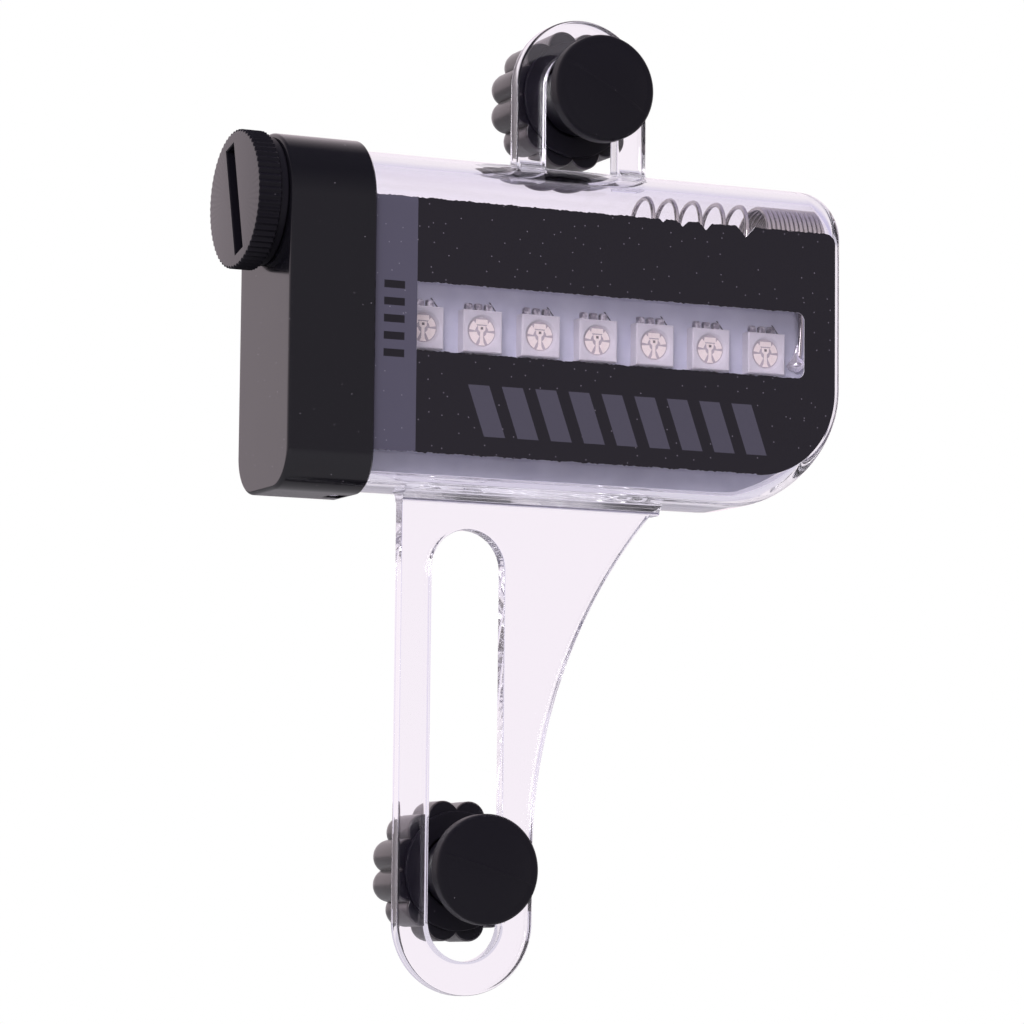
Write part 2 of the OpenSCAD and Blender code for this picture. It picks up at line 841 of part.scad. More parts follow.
clear_case();
end_cap();
battery_cap();
battery_cap_seal();
battery_cap_contact();
contact_strip();
battery_spring();
spring_lead();
pcb();
for (i = [1:led_count]) {
    led(i, -1);
    led(i, 1);
}
controller_chip();
boost_inductor();
filter_capacitor();
led_resistors();
motion_switch();
label_front();
label_back();
clamp_axis(0, 0) clamp_bolt();  // upper_clamp_bolt
clamp_axis(0, 0) clamp_nut();  // upper_clamp_nut
clamp_axis(0, 0) clamp_washer();  // upper_clamp_washer
clamp_axis(-arm_offset, lower_clamp_z) clamp_bolt();  // lower_clamp_bolt
clamp_axis(-arm_offset, lower_clamp_z) clamp_nut();  // lower_clamp_nut
clamp_axis(-arm_offset, lower_clamp_z) clamp_washer();  // lower_clamp_washer
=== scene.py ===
"""A bicycle spoke light with every piece dressed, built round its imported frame. Sizes are in millimetres."""
import math

import bmesh
import bpy
import numpy as np
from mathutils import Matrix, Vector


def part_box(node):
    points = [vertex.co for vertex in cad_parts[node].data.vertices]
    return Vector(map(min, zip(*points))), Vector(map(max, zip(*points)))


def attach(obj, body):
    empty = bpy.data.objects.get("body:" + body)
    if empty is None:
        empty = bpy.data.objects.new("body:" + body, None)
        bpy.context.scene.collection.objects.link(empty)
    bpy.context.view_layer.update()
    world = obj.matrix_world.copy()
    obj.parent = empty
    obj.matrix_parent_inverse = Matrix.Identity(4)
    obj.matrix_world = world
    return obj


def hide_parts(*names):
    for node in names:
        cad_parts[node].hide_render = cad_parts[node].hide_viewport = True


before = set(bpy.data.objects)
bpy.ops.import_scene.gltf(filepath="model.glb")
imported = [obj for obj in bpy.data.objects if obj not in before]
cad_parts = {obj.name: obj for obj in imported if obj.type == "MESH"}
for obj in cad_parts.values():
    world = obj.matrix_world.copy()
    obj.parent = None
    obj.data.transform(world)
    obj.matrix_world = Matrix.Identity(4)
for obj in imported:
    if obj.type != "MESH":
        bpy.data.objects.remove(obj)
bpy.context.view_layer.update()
MM = 0.001


# Clear case
# One moulding in clear polycarbonate: a flat hollow case, open at the end cap's side, with a slotted
# ear above it and a slotted arm with a curved gusset below it. It comes polished from the mould.

def node_box(node):
    """Lowest and highest corner of a node of the frame, in millimetres."""
    low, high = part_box(node)
    return np.array(low) / MM, np.array(high) / MM


def linear(hex_colour):
    """Linear RGBA of an sRGB hex colour: each channel goes through the sRGB curve."""
    srgb = np.array([int(hex_colour[i:i + 2], 16) for i in (1, 3, 5)]) / 255
    rgb = np.where(srgb <= 0.04045, srgb / 12.92, ((srgb + 0.055) / 1.055) ** 2.4)
    return (*rgb, 1.0)


def add_node(tree, kind, settings=None, links=None):
    """Adds a shader node, gives its inputs or properties their values and links sockets to its inputs."""
    node = tree.nodes.new("ShaderNode" + kind)
    for key, value in (settings or {}).items():
        if isinstance(key, int) or key in node.inputs:
            node.inputs[key].default_value = value
        else:
            setattr(node, key, value)
    for key, socket in (links or {}).items():
        tree.links.new(socket, node.inputs[key])
    return node


def new_material(name, **values):
    """A node material, its tree and its Principled shader, whose inputs are given by their names in lower
    case."""
    material = bpy.data.materials.new(name)
    material.use_nodes = True
    shader = material.node_tree.nodes["Principled BSDF"]
    for key, value in values.items():
        shader.inputs[key.replace("_", " ").title().replace("Ior", "IOR")].default_value = value
    return material, material.node_tree, shader


def per_mm(size):
    """Texture scale at which one cell of a pattern on Object coordinates measures this many millimetres."""
    return 1 / (size * MM)


def grained(tree, shader, grain_mm, detail=2.0, relief_mm=0.0, strength=1.0, rough=None):
    """Noise of the given grain over a surface, as a shallow relief, as a range of roughness, or as both.
    The noise's socket can serve the colour too."""
    coords = add_node(tree, "TexCoord")
    noise = add_node(tree, "TexNoise", {"Scale": per_mm(grain_mm), "Detail": detail},
                     {"Vector": coords.outputs["Object"]}).outputs["Fac"]
    if relief_mm:
        bump = add_node(tree, "Bump", {"Distance": relief_mm * MM, "Strength": strength}, {"Height": noise})
        tree.links.new(bump.outputs["Normal"], shader.inputs["Normal"])
    if rough:
        spread = add_node(tree, "MapRange", {"To Min": rough[0], "To Max": rough[1]}, {"Value": noise})
        tree.links.new(spread.outputs["Result"], shader.inputs["Roughness"])
    return noise


def add_object(name, data):
    """Puts a mesh, a lamp or a camera in the scene as an object."""
    thing = bpy.data.objects.new(name, data)
    bpy.context.scene.collection.objects.link(thing)
    return thing


def place(name, mesh, materials, body, node=None, flat=False):
    """Puts a mesh in the scene as a piece that rides on a body and stands for a node.
    Flat faces can keep an even shade up to their rounded edges."""
    piece = add_object(name, mesh)
    for material in materials:
        mesh.materials.append(material)
    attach(piece, body)
    if node:
        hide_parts(node)
    if flat:
        piece.modifiers.new("flat_faces", "WEIGHTED_NORMAL").keep_sharp = True


def soften(mesh, crease=35):
    """Smooth shading, broken only where two faces meet at more than the crease angle in degrees."""
    mesh.shade_smooth()
    mesh.set_sharp_from_angle(angle=math.radians(crease))
    return mesh


def clear_polycarbonate():
    """Clear polycarbonate from a polished mould: sharp refraction, a breath of lilac, slow flow waves."""
    material, tree, shader = new_material(
        "polished_clear_polycarbonate", base_color=linear("#faf8fe"), roughness=0.02,
        transmission_weight=1.0, ior=1.58)
    grained(tree, shader, grain_mm=7, detail=1.0, relief_mm=0.02)
    path = add_node(tree, "LightPath")
    through = add_node(tree, "BsdfTransparent", {"Color": linear("#fdf9fd")})
    mix = add_node(tree, "MixShader", links={0: path.outputs["Is Shadow Ray"], 1: shader.outputs[0],
                                             2: through.outputs[0]})
    tree.links.new(mix.outputs[0], tree.nodes["Material Output"].inputs["Surface"])
    return material


def loft(name, rows, ring=False, crease=35):
    """Mesh of quads between neighbouring closed loops of points.
    A ring joins the last loop to the first; otherwise the two end loops are closed with flat faces."""
    rows = np.asarray(rows, float)
    count, around = rows.shape[:2]
    index = np.arange(count * around).reshape(count, around)
    lower = index if ring else index[:-1]
    upper = np.roll(index, -1, axis=0) if ring else index[1:]
    quads = np.stack([lower, np.roll(lower, -1, 1), np.roll(upper, -1, 1), upper], -1).reshape(-1, 4)
    ends = [] if ring else [index[0][::-1].tolist(), index[-1].tolist()]
    mesh = bpy.data.meshes.new(name)
    mesh.from_pydata((rows.reshape(-1, 3) * MM).tolist(), [], quads.tolist() + ends)
    shape = bmesh.new()
    shape.from_mesh(mesh)
    bmesh.ops.remove_doubles(shape, verts=shape.verts, dist=1e-7)
    bmesh.ops.dissolve_degenerate(shape, edges=shape.edges, dist=1e-7)
    bmesh.ops.recalc_face_normals(shape, faces=shape.faces)
    shape.to_mesh(mesh)
    shape.free()
    return soften(mesh, crease)


def cut(mesh, cutters, operation="DIFFERENCE"):
    """The mesh after closed shapes are cut from it, or joined to it."""
    base = add_object("base", mesh)
    tools = [add_object("tool", cutter) for cutter in cutters]
    for tool in tools:
        change = base.modifiers.new("cut", "BOOLEAN")
        change.operation = operation
        change.object = tool
    result = bpy.data.meshes.new_from_object(base.evaluated_get(bpy.context.evaluated_depsgraph_get()))
    for spent in [base, *tools]:
        bpy.data.objects.remove(spent)
    return soften(result)


def block(x, y, z):
    """Closed box between pairs of limits."""
    loop = np.array([[y[0], z[0]], [y[1], z[0]], [y[1], z[1]], [y[0], z[1]]])
    return loft("block", [np.column_stack([np.full(4, end), loop]) for end in x])


case_low, case_high = node_box("clear_case")
case_left, case_r, ear_top = case_low[0], case_high[1], case_high[2]
case_right, arm_tip = case_high[0], case_low[2]
case_top = -9.0
case_bottom = -48.7
case_wall = 1.4
foot_r = 3.7
end_bulge = 1.77
cavity_bulge = 0.5
corner_top = 4.0
corner_low = 15.6
flat_corner_top = 1.6
flat_corner_low = 10.7
plate_half = 1.05
plate_edge = 0.3
plate_sunk = 0.4
ear_half = 8.55
arm_x = -14.2
arm_half = 8.6
slot_half = 4.65
ear_play = 0.75
arm_slot_top = -57.5
gusset_r = 63.3
gusset_rise = 16.2
gusset_z = arm_tip + gusset_rise
root_r = 1.2
cut_past = 1.0
side_points = 24
corner_points = 40
arc_points = 65
slot_points = 49


def spaced(start, end, count):
    """Evenly spaced values from a start up to, but without, an end."""
    return start + (end - start) * (np.arange(count) / count)


def case_loop(left, right, low, high, low_corner, high_corner):
    """Loop in X and Z with fixed point counts: along the top, round the closed end's two corners and back."""
    turn = spaced(0, math.pi / 2, corner_points)
    x = [spaced(left, right - high_corner, side_points), right - high_corner * (1 - np.sin(turn)),
         np.full(side_points, right), right - low_corner * (1 - np.cos(turn)),
         spaced(right - low_corner, left, side_points), np.full(side_points, left)]
    z = [np.full(side_points, high), high - high_corner * (1 - np.cos(turn)),
         spaced(high - high_corner, low + low_corner, side_points), low + low_corner * (1 - np.sin(turn)),
         np.full(side_points, low), spaced(low, high, side_points)]
    return np.column_stack([np.concatenate(x), np.concatenate(z)])


def case_form(inset, left, bulge):
    """Flat form with round edges: across its thickness each point of the edge goes from the flat of one
    face out to the outline along a quarter ellipse, straight on, and back to the other face."""
    right = case_right - inset
    half = case_r - inset
    outline = case_loop(left, right, case_bottom + inset, case_top - inset,
                        corner_low - inset, corner_top - inset)
    flat = case_loop(left, right - bulge, case_bottom + foot_r, case_top - case_r,
                     flat_corner_low, flat_corner_top)
    ease = 0.5 - 0.5 * np.cos(np.linspace(0, math.pi, corner_points))
    low_corner = half + (foot_r - inset - half) * ease
    depth = np.concatenate([np.full(2 * side_points + corner_points, half), low_corner,
                            np.full(side_points, low_corner[-1]), low_corner[::-1][:side_points]])
    turn = np.radians(np.linspace(0, 90, 21))
    y = half - depth + depth * np.sin(turn)[:, None]
    edge = flat + (outline - flat) * np.cos(turn)[:, None, None]
    back = np.stack([edge[..., 0], y, edge[..., 1]], -1)
    return loft("case_form", np.concatenate([(back * [1, -1, 1])[::-1], back]))


def plate(outline, edge, flare=0):
    """Upright plate of an outline in X and Z that runs anticlockwise, with rounded edges.
    With a flare it is the cutter for a slot, which widens by the edge at both faces."""
    run = np.roll(outline, -1, 0) - np.roll(outline, 1, 0)
    out = np.column_stack([run[:, 1], -run[:, 0]]) / np.linalg.norm(run, axis=1, keepdims=True)
    bend = np.radians(np.linspace(0, 90, 7))
    y = plate_half - edge + edge * np.sin(bend)
    shift = edge * (np.cos(bend) - 1)
    if flare:
        y = np.append(y, plate_half + flare)
        shift = np.append(-shift, edge)
    y = np.concatenate([-y[::-1], y])
    shift = np.concatenate([shift[::-1], shift])
    loops = outline + out * shift[:, None, None]
    depth = np.broadcast_to(y[:, None], loops.shape[:2])
    return loft("plate", np.stack([loops[..., 0], depth, loops[..., 1]], -1))


def arc(centre, radius, start, end, count):
    """Points in X and Z along an arc between two angles in degrees."""
    turn = np.radians(np.linspace(start, end, count))
    return np.column_stack([centre[0] + radius * np.cos(turn), centre[1] + radius * np.sin(turn)])


def long_slot(x, low, high):
    """Cutter for a slot with round ends, between the middles of its ends."""
    outline = np.concatenate([arc((x, high), slot_half, 0, 180, slot_points),
                              arc((x, low), slot_half, 180, 360, slot_points)])
    return plate(outline, plate_edge, flare=cut_past)


def arm():
    """Slotted arm with a round tip and a gusset, whose free edge is one long arc up to the case."""
    top = case_bottom + plate_sunk
    rise = math.degrees(math.asin((top - gusset_z) / gusset_r))
    tip = arc((arm_x, arm_tip + arm_half), arm_half, 180, 360, arc_points)
    gusset = arc((arm_x + arm_half + gusset_r, gusset_z), gusset_r, 180, 180 - rise, arc_points)
    outline = np.concatenate([[[arm_x - arm_half, top]], tip, gusset])
    return cut(plate(outline, plate_edge), [long_slot(arm_x, arm_tip + arm_half, arm_slot_top)])


def ear():
    """Slotted ear with a round top."""
    foot = case_top - plate_sunk
    outline = np.concatenate([[[-ear_half, foot], [ear_half, foot]],
                              arc((0, ear_top - ear_half), ear_half, 0, 180, arc_points)])
    return cut(plate(outline, plate_edge), [long_slot(0, case_top, ear_play)])


def root_fillet(left, right, edge_z, up, edge_r):
    """Fillet on both faces of a plate where it grows out of the case, from left to right: an arc that
    touches the plate and the case's edge, a round of radius edge_r that is flat where it is very large."""
    arc_y = plate_half + root_r
    drop = math.sqrt((edge_r + root_r) ** 2 - arc_y ** 2) - edge_r
    touch = math.atan2(edge_r + drop, arc_y)
    turn = np.linspace(math.pi, math.pi - touch, 17)
    y = arc_y + root_r * np.cos(turn)
    z = edge_z + up * (drop - root_r * np.sin(turn))
    y = np.concatenate([-y[::-1], y, [y[-1], -y[-1]]])
    z = np.concatenate([z[::-1], z, [edge_z - up * plate_sunk] * 2])
    return loft("fillet", [np.column_stack([np.full(len(y), x), y, z]) for x in (left, right)])


def snap_lug():
    """Block below the case that snaps into the end cap's window."""
    return block((snap_right - snap_len + lug_fit, snap_right - lug_fit),
                 (lug_fit - snap_half, snap_half - lug_fit),
                 (case_bottom - cap_wall + lug_fit, case_bottom + plate_sunk))


cap_low, cap_high = node_box("end_cap")
cap_wall = 1.0
snap_len = 2.1
snap_half = 1.5
snap_margin = 0.5
snap_right = cap_high[0] - snap_margin
lug_fit = 0.15
flat_r = 1e4
gusset_end = arm_x + arm_half + gusset_r - math.sqrt(gusset_r ** 2 - (case_bottom - gusset_z) ** 2)
grown = [arm(), ear(), snap_lug(), root_fillet(arm_x - arm_half, gusset_end, case_bottom, -1, flat_r),
         root_fillet(-ear_half + plate_edge, -slot_half - plate_edge, case_top, 1, case_r),
         root_fillet(slot_half + plate_edge, ear_half - plate_edge, case_top, 1, case_r)]
case_mesh = cut(case_form(0, case_left, end_bulge), grown, "UNION")
case_mesh = cut(case_mesh, [case_form(case_wall, case_left - cut_past, cavity_bulge)])
place("case_moulding", case_mesh, [clear_polycarbonate()], "lamp", "clear_case", flat=True)


# Circuit board
# A white-masked fibreglass board that stands on edge in the middle of the case and carries the LEDs.
# Its print is a short slanted line beside each LED.

def joined(name, meshes, own_materials=False):
    """One mesh from several. Each can have its own place in the list of materials."""
    whole = bmesh.new()
    for mesh in meshes:
        whole.from_mesh(mesh)
    result = bpy.data.meshes.new(name)
    whole.to_mesh(result)
    whole.free()
    if own_materials:
        faces = [len(mesh.polygons) for mesh in meshes]
        result.polygons.foreach_set("material_index", np.repeat(np.arange(len(meshes)), faces))
    return soften(result)


def finish_node(node, material):
    """Gives a node of the frame its material."""
    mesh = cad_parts[node].data
    mesh.materials.clear()
    mesh.materials.append(material)


def middle(node):
    """Middle of a node of the frame in X and Z."""
    low, high = node_box(node)
    return (low[0] + high[0]) / 2, (low[2] + high[2]) / 2


def mottled(name, dark, light, grain_mm, detail=2.0, stops=(0.0, 1.0), relief_mm=0.0, strength=1.0,
            **values):
    """A material that wanders between two tones with a noise of the given grain, from stop to stop."""
    material, tree, shader = new_material(name, **values)
    noise = grained(tree, shader, grain_mm, detail, relief_mm, strength)
    tint = add_node(tree, "ValToRGB", links={"Fac": noise})
    for element, stop, tone in zip(tint.color_ramp.elements, stops, (dark, light)):
        element.position = stop
        element.color = linear(tone)
    tree.links.new(tint.outputs["Color"], shader.inputs["Base Color"])
    return material


# White solder mask over fibreglass: a bluish white with a faint cloud and a soft gloss.
finish_node("pcb", mottled("white_solder_mask", "#b5b6c9", "#c4c5d5", 3, 4.0, (0.3, 0.7), roughness=0.45))
# Epoxy printing ink: flat dark grey, a little broken by the board's weave.
printing_ink = mottled("dark_printing_ink", "#2d2b38", "#4a4758", 0.5, roughness=0.6)
board_face = node_box("pcb")[1][1]
led_count = 7
board_sides = {"front": -1, "back": 1}
led_places = [middle(f"led_front_{i}") for i in range(1, led_count + 1)]
mark_offset = (1.98, 3.15)
mark_lean = 0.95
mark_rise = 1.2
mark_width = 0.2
mark_lift = 0.03


def on_board(centre, side, across, up, height):
    """Points given across, up and out from an LED's place on the board, in the part's frame."""
    x = centre[0] + across
    y = side * (board_face + height)
    return np.stack(np.broadcast_arrays(x, y, centre[1] + up), -1)


def prism(centre, side, across, up, low, high):
    """Closed shape of an outline at an LED's place, between two heights over the board."""
    return loft("prism", [on_board(centre, side, across, up, height) for height in (low, high)])


def slanted_mark(centre, side):
    """Thin printed parallelogram beside an LED, half sunk in the board's face."""
    across = np.array([-0.5, 0.5, 0.5, -0.5]) * mark_width
    up = np.array([0.5, 0.5, -0.5, -0.5])
    return prism(centre, side, mark_offset[0] + across - up * mark_lean, mark_offset[1] + up * mark_rise,
                 -mark_lift, mark_lift)


for face, side in board_sides.items():
    marks = joined(f"board_print_{face}", [slanted_mark(centre, side) for centre in led_places])
    place(f"board_print_{face}", marks, [printing_ink], "lamp")


# LEDs
# Seven square 5 mm LEDs on each face of the board. Each is a white nylon body with a round cup, a plated
# lead frame of six pads under clear resin, a tiny chip, and three soldered leads at its upper and lower edge.

led_half = 2.5
led_height = 1.6
led_bevel = 0.12
cup_rim_r = 1.98
cup_rim_land = 0.06
cup_rim_drop = 0.03
cup_floor_r = 1.74
cup_floor = 1.2
resin_lift = 0.02
resin_depth = 0.3
pad_lift = 0.05
pad_edge_r = 1.62
die_half = 0.15
die_rise = 0.42
die_height = 0.12
leg_pitch = 1.28
leg_count = 3
leg_reach = 0.5


def led_body(centre, side):
    """Square loops up the sides, then round loops over the rim and down the cup to its floor."""
    angle = spaced(0, math.tau, 64)
    square = 1 / np.maximum(np.abs(np.cos(angle)), np.abs(np.sin(angle)))
    loops = [(led_half * square, 0.0), (led_half * square, led_height - led_bevel),
             ((led_half - led_bevel) * square, led_height), (cup_rim_r + cup_rim_land, led_height),
             (cup_rim_r, led_height - cup_rim_drop), (cup_floor_r, cup_floor)]
    return loft("body", [on_board(centre, side, r * np.cos(angle), r * np.sin(angle), h) for r, h in loops])


def cup_resin(centre, side):
    """Round disc of resin on the floor of the cup."""
    angle = spaced(0, math.tau, 48)
    top = cup_floor + resin_lift
    return prism(centre, side, cup_floor_r * np.cos(angle), cup_floor_r * np.sin(angle),
                 top - resin_depth, top)


def led_pads(centre, side):
    """Six pads: a bar at the top, a bone in the middle, and on each side two that are cut from a ring."""
    bar = (np.array([-0.74, 0.74, 0.8, -0.8]), np.array([1.46, 1.46, 0.86, 0.86]))
    half_x = np.array([0.5, 0.46, 0.2, 0.19, 0.24, 0.42])
    half_z = np.array([0.72, 0.2, -0.05, -0.85, -1.25, -1.6])
    bone = (np.concatenate([half_x, -half_x[::-1]]), np.concatenate([half_z, half_z[::-1]]))
    outlines = [bar, bone]
    for start, end, inner in ((8, 50, 0.86), (-62, -4, 0.62)):
        turn = np.radians(np.linspace(start, end, 9))
        angle = np.concatenate([turn, turn[::-1]])
        radius = np.repeat([pad_edge_r, inner], 9)
        outlines += [(flip * radius * np.cos(angle), radius * np.sin(angle)) for flip in (1, -1)]
    return joined("pads", [prism(centre, side, across, up, cup_floor - pad_lift, cup_floor + pad_lift)
                           for across, up in outlines])


def led_die(centre, side):
    """Square chip on the head of the bone pad."""
    across = np.array([-1, 1, 1, -1]) * die_half
    up = np.array([-1, -1, 1, 1]) * die_half
    return prism(centre, side, across, die_rise + up, cup_floor, cup_floor + die_height)


def led_leads(centre, side):
    """Solder joints in rows above and below the body: blunt square loops that shrink towards their tops."""
    angle = spaced(0, math.tau, 24)
    blunt = (np.abs(np.cos(angle)) ** 4 + np.abs(np.sin(angle)) ** 4) ** -0.25
    levels = [(0.52, 0.52, 0.0), (0.5, 0.5, 0.2), (0.46, 0.45, 0.38), (0.4, 0.36, 0.45)]
    joints = []
    for leg in (np.arange(leg_count) - (leg_count - 1) / 2) * leg_pitch:
        for end in (-led_half - leg_reach, led_half + leg_reach):
            joints.append(loft("joint", [on_board(centre, side, leg + width * blunt * np.cos(angle),
                                                  end + depth * blunt * np.sin(angle), height)
                                         for width, depth, height in levels]))
    return joined("leads", joints)


led_finishes = [
    # Moulded white nylon seen through clear resin and plastic: greyish lilac, matt, slightly mottled.
    mottled("white_led_nylon", "#c6c2c9", "#d3cfd6", 0.8, 3.0, roughness=0.5),
    # Resin in the cup: a warmer, darker grey than the body, with a wet gloss.
    mottled("led_cup_resin", "#a79ca3", "#b8adb3", 0.6, roughness=0.25),
    # Silver-plated lead frame under resin: a creamy white that hardly mirrors.
    mottled("silvered_lead_frame", "#e9dcd6", "#fbf1ea", 0.4, roughness=0.4, metallic=0.15),
    # Bare semiconductor chip: dark brown-grey with fine bright bond marks.
    mottled("bare_led_chip", "#453a3e", "#7a6c6c", 0.1, roughness=0.35),
    # Tin solder over plated leads: dull grey metal with painted highlights: the noise that raises its lumps
    # also makes them paler.
    mottled("tin_solder", "#8a8490", "#d9d5dc", 0.45, stops=(0.42, 0.68), relief_mm=0.1, strength=0.6,
            roughness=0.32, metallic=1.0),
]
for face, side in board_sides.items():
    for number, centre in enumerate(led_places, 1):
        parts = [make(centre, side) for make in (led_body, cup_resin, led_pads, led_die, led_leads)]
        node = f"led_{face}_{number}"
        package = joined(node, parts, own_materials=True)
        place(f"led_{face}_package_{number}", package, led_finishes, "lamp", node)


# Driver circuit
# The pieces behind the label: a controller chip, an inductor, a capacitor, resistors and a motion switch.
# They are soldered to the board, and their plain cases need only a finish.

def drawn_can():
    """Drawn steel can, tin-plated: grey metal with fine lines along the draw."""
    material, tree, shader = new_material("drawn_plated_can", base_color=linear("#c4c3c8"), metallic=1.0)
    coords = add_node(tree, "TexCoord")
    stretch = add_node(tree, "Mapping", {"Scale": (0.05, 1, 1)}, {"Vector": coords.outputs["Object"]})
    lines = add_node(tree, "TexNoise", {"Scale": per_mm(0.2)}, {"Vector": stretch.outputs["Vector"]})
    rough = add_node(tree, "MapRange", {"To Min": 0.25, "To Max": 0.45}, {"Value": lines.outputs["Fac"]})
    tree.links.new(rough.outputs["Result"], shader.inputs["Roughness"])
    return material


# Moulded black epoxy: matt, with a fine sandy grain, drawn coarse enough to show.
black_epoxy = mottled("black_epoxy_moulding", "#17161a", "#2a282e", 0.2, roughness=0.6)
finish_node("controller_chip", black_epoxy)
finish_node("led_resistors", black_epoxy)
# Pressed ferrite: dark grey ceramic with a dull sparkle.
finish_node("boost_inductor", mottled("pressed_ferrite", "#3a3836", "#56534f", 0.15, roughness=0.55))
# Moulded case of a tantalum capacitor: ochre yellow, satin.
finish_node("filter_capacitor", mottled("ochre_capacitor_case", "#b5862c", "#cf9f44", 0.7, roughness=0.45))
finish_node("motion_switch", drawn_can())


# Battery spring and its lead
# Bright nickel-plated spring wire at the closed end of the battery tube, with open turns towards the
# battery and close turns at its seat. A wire leads from it to a tear of solder on the board, and a strip
# with the same plate leads from the battery's mouth to the board.

def nickel_plate():
    """Bright nickel plate: a warm white metal, polished, with a fine mottle in its roughness, drawn coarse
    enough to show."""
    material, tree, shader = new_material("bright_nickel_plate", base_color=linear("#b3adaa"), metallic=1.0)
    grained(tree, shader, grain_mm=0.3, detail=3.0, rough=(0.1, 0.22))
    return material


def tube(name, path, radius, sides=12):
    """Tube round a path: at each point a ring square to the path, turned out from one steady direction."""
    path = np.asarray(path, float)
    along = np.gradient(path, axis=0)
    along /= np.linalg.norm(along, axis=1, keepdims=True)
    steady = np.array([1.0, 0.013, 0.017])
    out = np.cross(along, steady)
    out /= np.linalg.norm(out, axis=1, keepdims=True)
    side = np.cross(along, out)
    angle = spaced(0, math.tau, sides)
    radius = np.broadcast_to(radius, len(path))[:, None, None]
    rows = path[:, None] + radius * (np.cos(angle)[None, :, None] * out[:, None]
                                     + np.sin(angle)[None, :, None] * side[:, None])
    return loft(name, rows, crease=60)


nickel = nickel_plate()
spring_low, spring_high = node_box("battery_spring")
tube_z = middle("battery_spring")[1]
wire_r = 0.285
wire_room = 0.3
coil_r = spring_high[1] - wire_room
open_turns = 5.5
open_pitch = 3.15
close_pitch = 0.62
steps_per_turn = 40


def spring_path():
    """Helix about the battery tube's axis: close turns from the seat, then open turns towards the battery."""
    right = spring_high[0] - wire_room
    left = spring_low[0] + wire_room
    close_turns = (right - left - open_turns * open_pitch) / close_pitch
    turns = np.linspace(0, close_turns + open_turns, int((close_turns + open_turns) * steps_per_turn))
    x = right - np.minimum(turns, close_turns) * close_pitch
    x -= np.maximum(turns - close_turns, 0) * open_pitch
    turn = (turns - turns[-1]) * math.tau
    return np.stack([x, coil_r * np.cos(turn), tube_z + coil_r * np.sin(turn)], -1)


spring_mesh = tube("battery_spring", spring_path(), wire_r)
place("spring_coil", spring_mesh, [nickel], "lamp", "battery_spring")

lead_low, lead_high = node_box("spring_lead")
lead_x = middle("spring_lead")[0]
lead_bow = 0.35
lead_off = 0.35
lead_start = 0.9
tear_lift = 0.02
tear_len = 3.4
tear_bow = 0.3
tear_off = 0.3
tear_thin = 0.28
tear_swell = 0.95
tear_belly = 0.26
tear_spread = 0.24
tear_point = 0.002


def lead_wire():
    """Wire that comes down from the last turn, bows a little and runs into its solder."""
    rise = np.linspace(0, 1, 40)
    x = lead_x + lead_bow * np.sin(rise * math.pi)
    z = lead_low[2] + lead_start + rise * (lead_high[2] - lead_low[2] - lead_start)
    return np.stack([x, np.full(40, -board_face - lead_off), z], -1)


def solder_tear():
    """Tear of solder: a tube that swells from the wire in a bell curve and rounds off to a point below."""
    rise = np.linspace(0, 1, 28)
    x = lead_x - tear_bow * np.sin(rise * math.pi)
    z = lead_low[2] + tear_lift + rise * tear_len
    swell = tear_thin + tear_swell * np.exp(-((rise - tear_belly) / tear_spread) ** 2)
    below = np.clip(1 - rise / tear_spread, 0, 1)
    swell = swell * np.sqrt(np.clip(1 - below ** 2, tear_point, 1))
    return tube("solder_tear", np.stack([x, np.full(28, -board_face - tear_off), z], -1), swell, 20)


def bright_tin():
    """Fresh tin solder: a smooth silvery white, with slow waves where it set."""
    material, tree, shader = new_material("fresh_tin_solder", base_color=linear("#e8e4ea"), metallic=0.7,
                                          roughness=0.15)
    grained(tree, shader, grain_mm=1.2, relief_mm=0.2)
    return material


lead_mesh = joined("spring_lead", [tube("wire", lead_wire(), wire_r), solder_tear()], own_materials=True)
place("spring_lead_wire", lead_mesh, [nickel, bright_tin()], "lamp", "spring_lead")
finish_node("contact_strip", nickel)


# End cap
# A glossy black ABS sleeve that is pushed over the open end of the case and snaps on a lug. Its end wall
# has the round mouth for the battery, and its underside has the snap's small window.

def dusty(tree, ground, speck, spacing_mm, size_mm, flat=None):
    """Colour socket: a ground colour with pale specks, one in some of the cells of a given spacing.
    The cells fill space, or lie in the plane of a socket with flat places."""
    bare_share = 0.45
    spots = flat or add_node(tree, "TexCoord").outputs["Object"]
    kind = "2D" if flat else "3D"
    cells = add_node(tree, "TexVoronoi", {"voronoi_dimensions": kind, "Scale": per_mm(spacing_mm)},
                     {"Vector": spots})
    near = add_node(tree, "Math", {"operation": "LESS_THAN", 1: size_mm / spacing_mm},
                    {0: cells.outputs["Distance"]})
    tone = add_node(tree, "SeparateColor", links={"Color": cells.outputs["Color"]})
    some = add_node(tree, "Math", {"operation": "GREATER_THAN", 1: bare_share}, {0: tone.outputs["Red"]})
    both = add_node(tree, "Math", {"operation": "MULTIPLY"}, {0: near.outputs[0], 1: some.outputs[0]})
    mix = add_node(tree, "Mix", {"data_type": "RGBA", 6: linear(ground), 7: linear(speck)},
                   {0: both.outputs[0]})
    return mix.outputs[2]


def gloss_abs():
    """Glossy black ABS: blue-black, with faint mould flow in the gloss and a few pale dust specks."""
    material, tree, shader = new_material("glossy_black_abs", ior=1.54)
    grained(tree, shader, grain_mm=6, detail=3.0, rough=(0.12, 0.22))
    tree.links.new(dusty(tree, "#141319", "#9b95a0", 1.1, 0.05), shader.inputs["Base Color"])
    return material


cap_face = 2.4
cap_edge = 0.5
cap_foot = foot_r + case_bottom - cap_low[2]
rim_edge = 0.22
mouth_r = 6.01
mouth_edge = 0.3
window_past = 0.05
round_points = 48
flat_points = 12


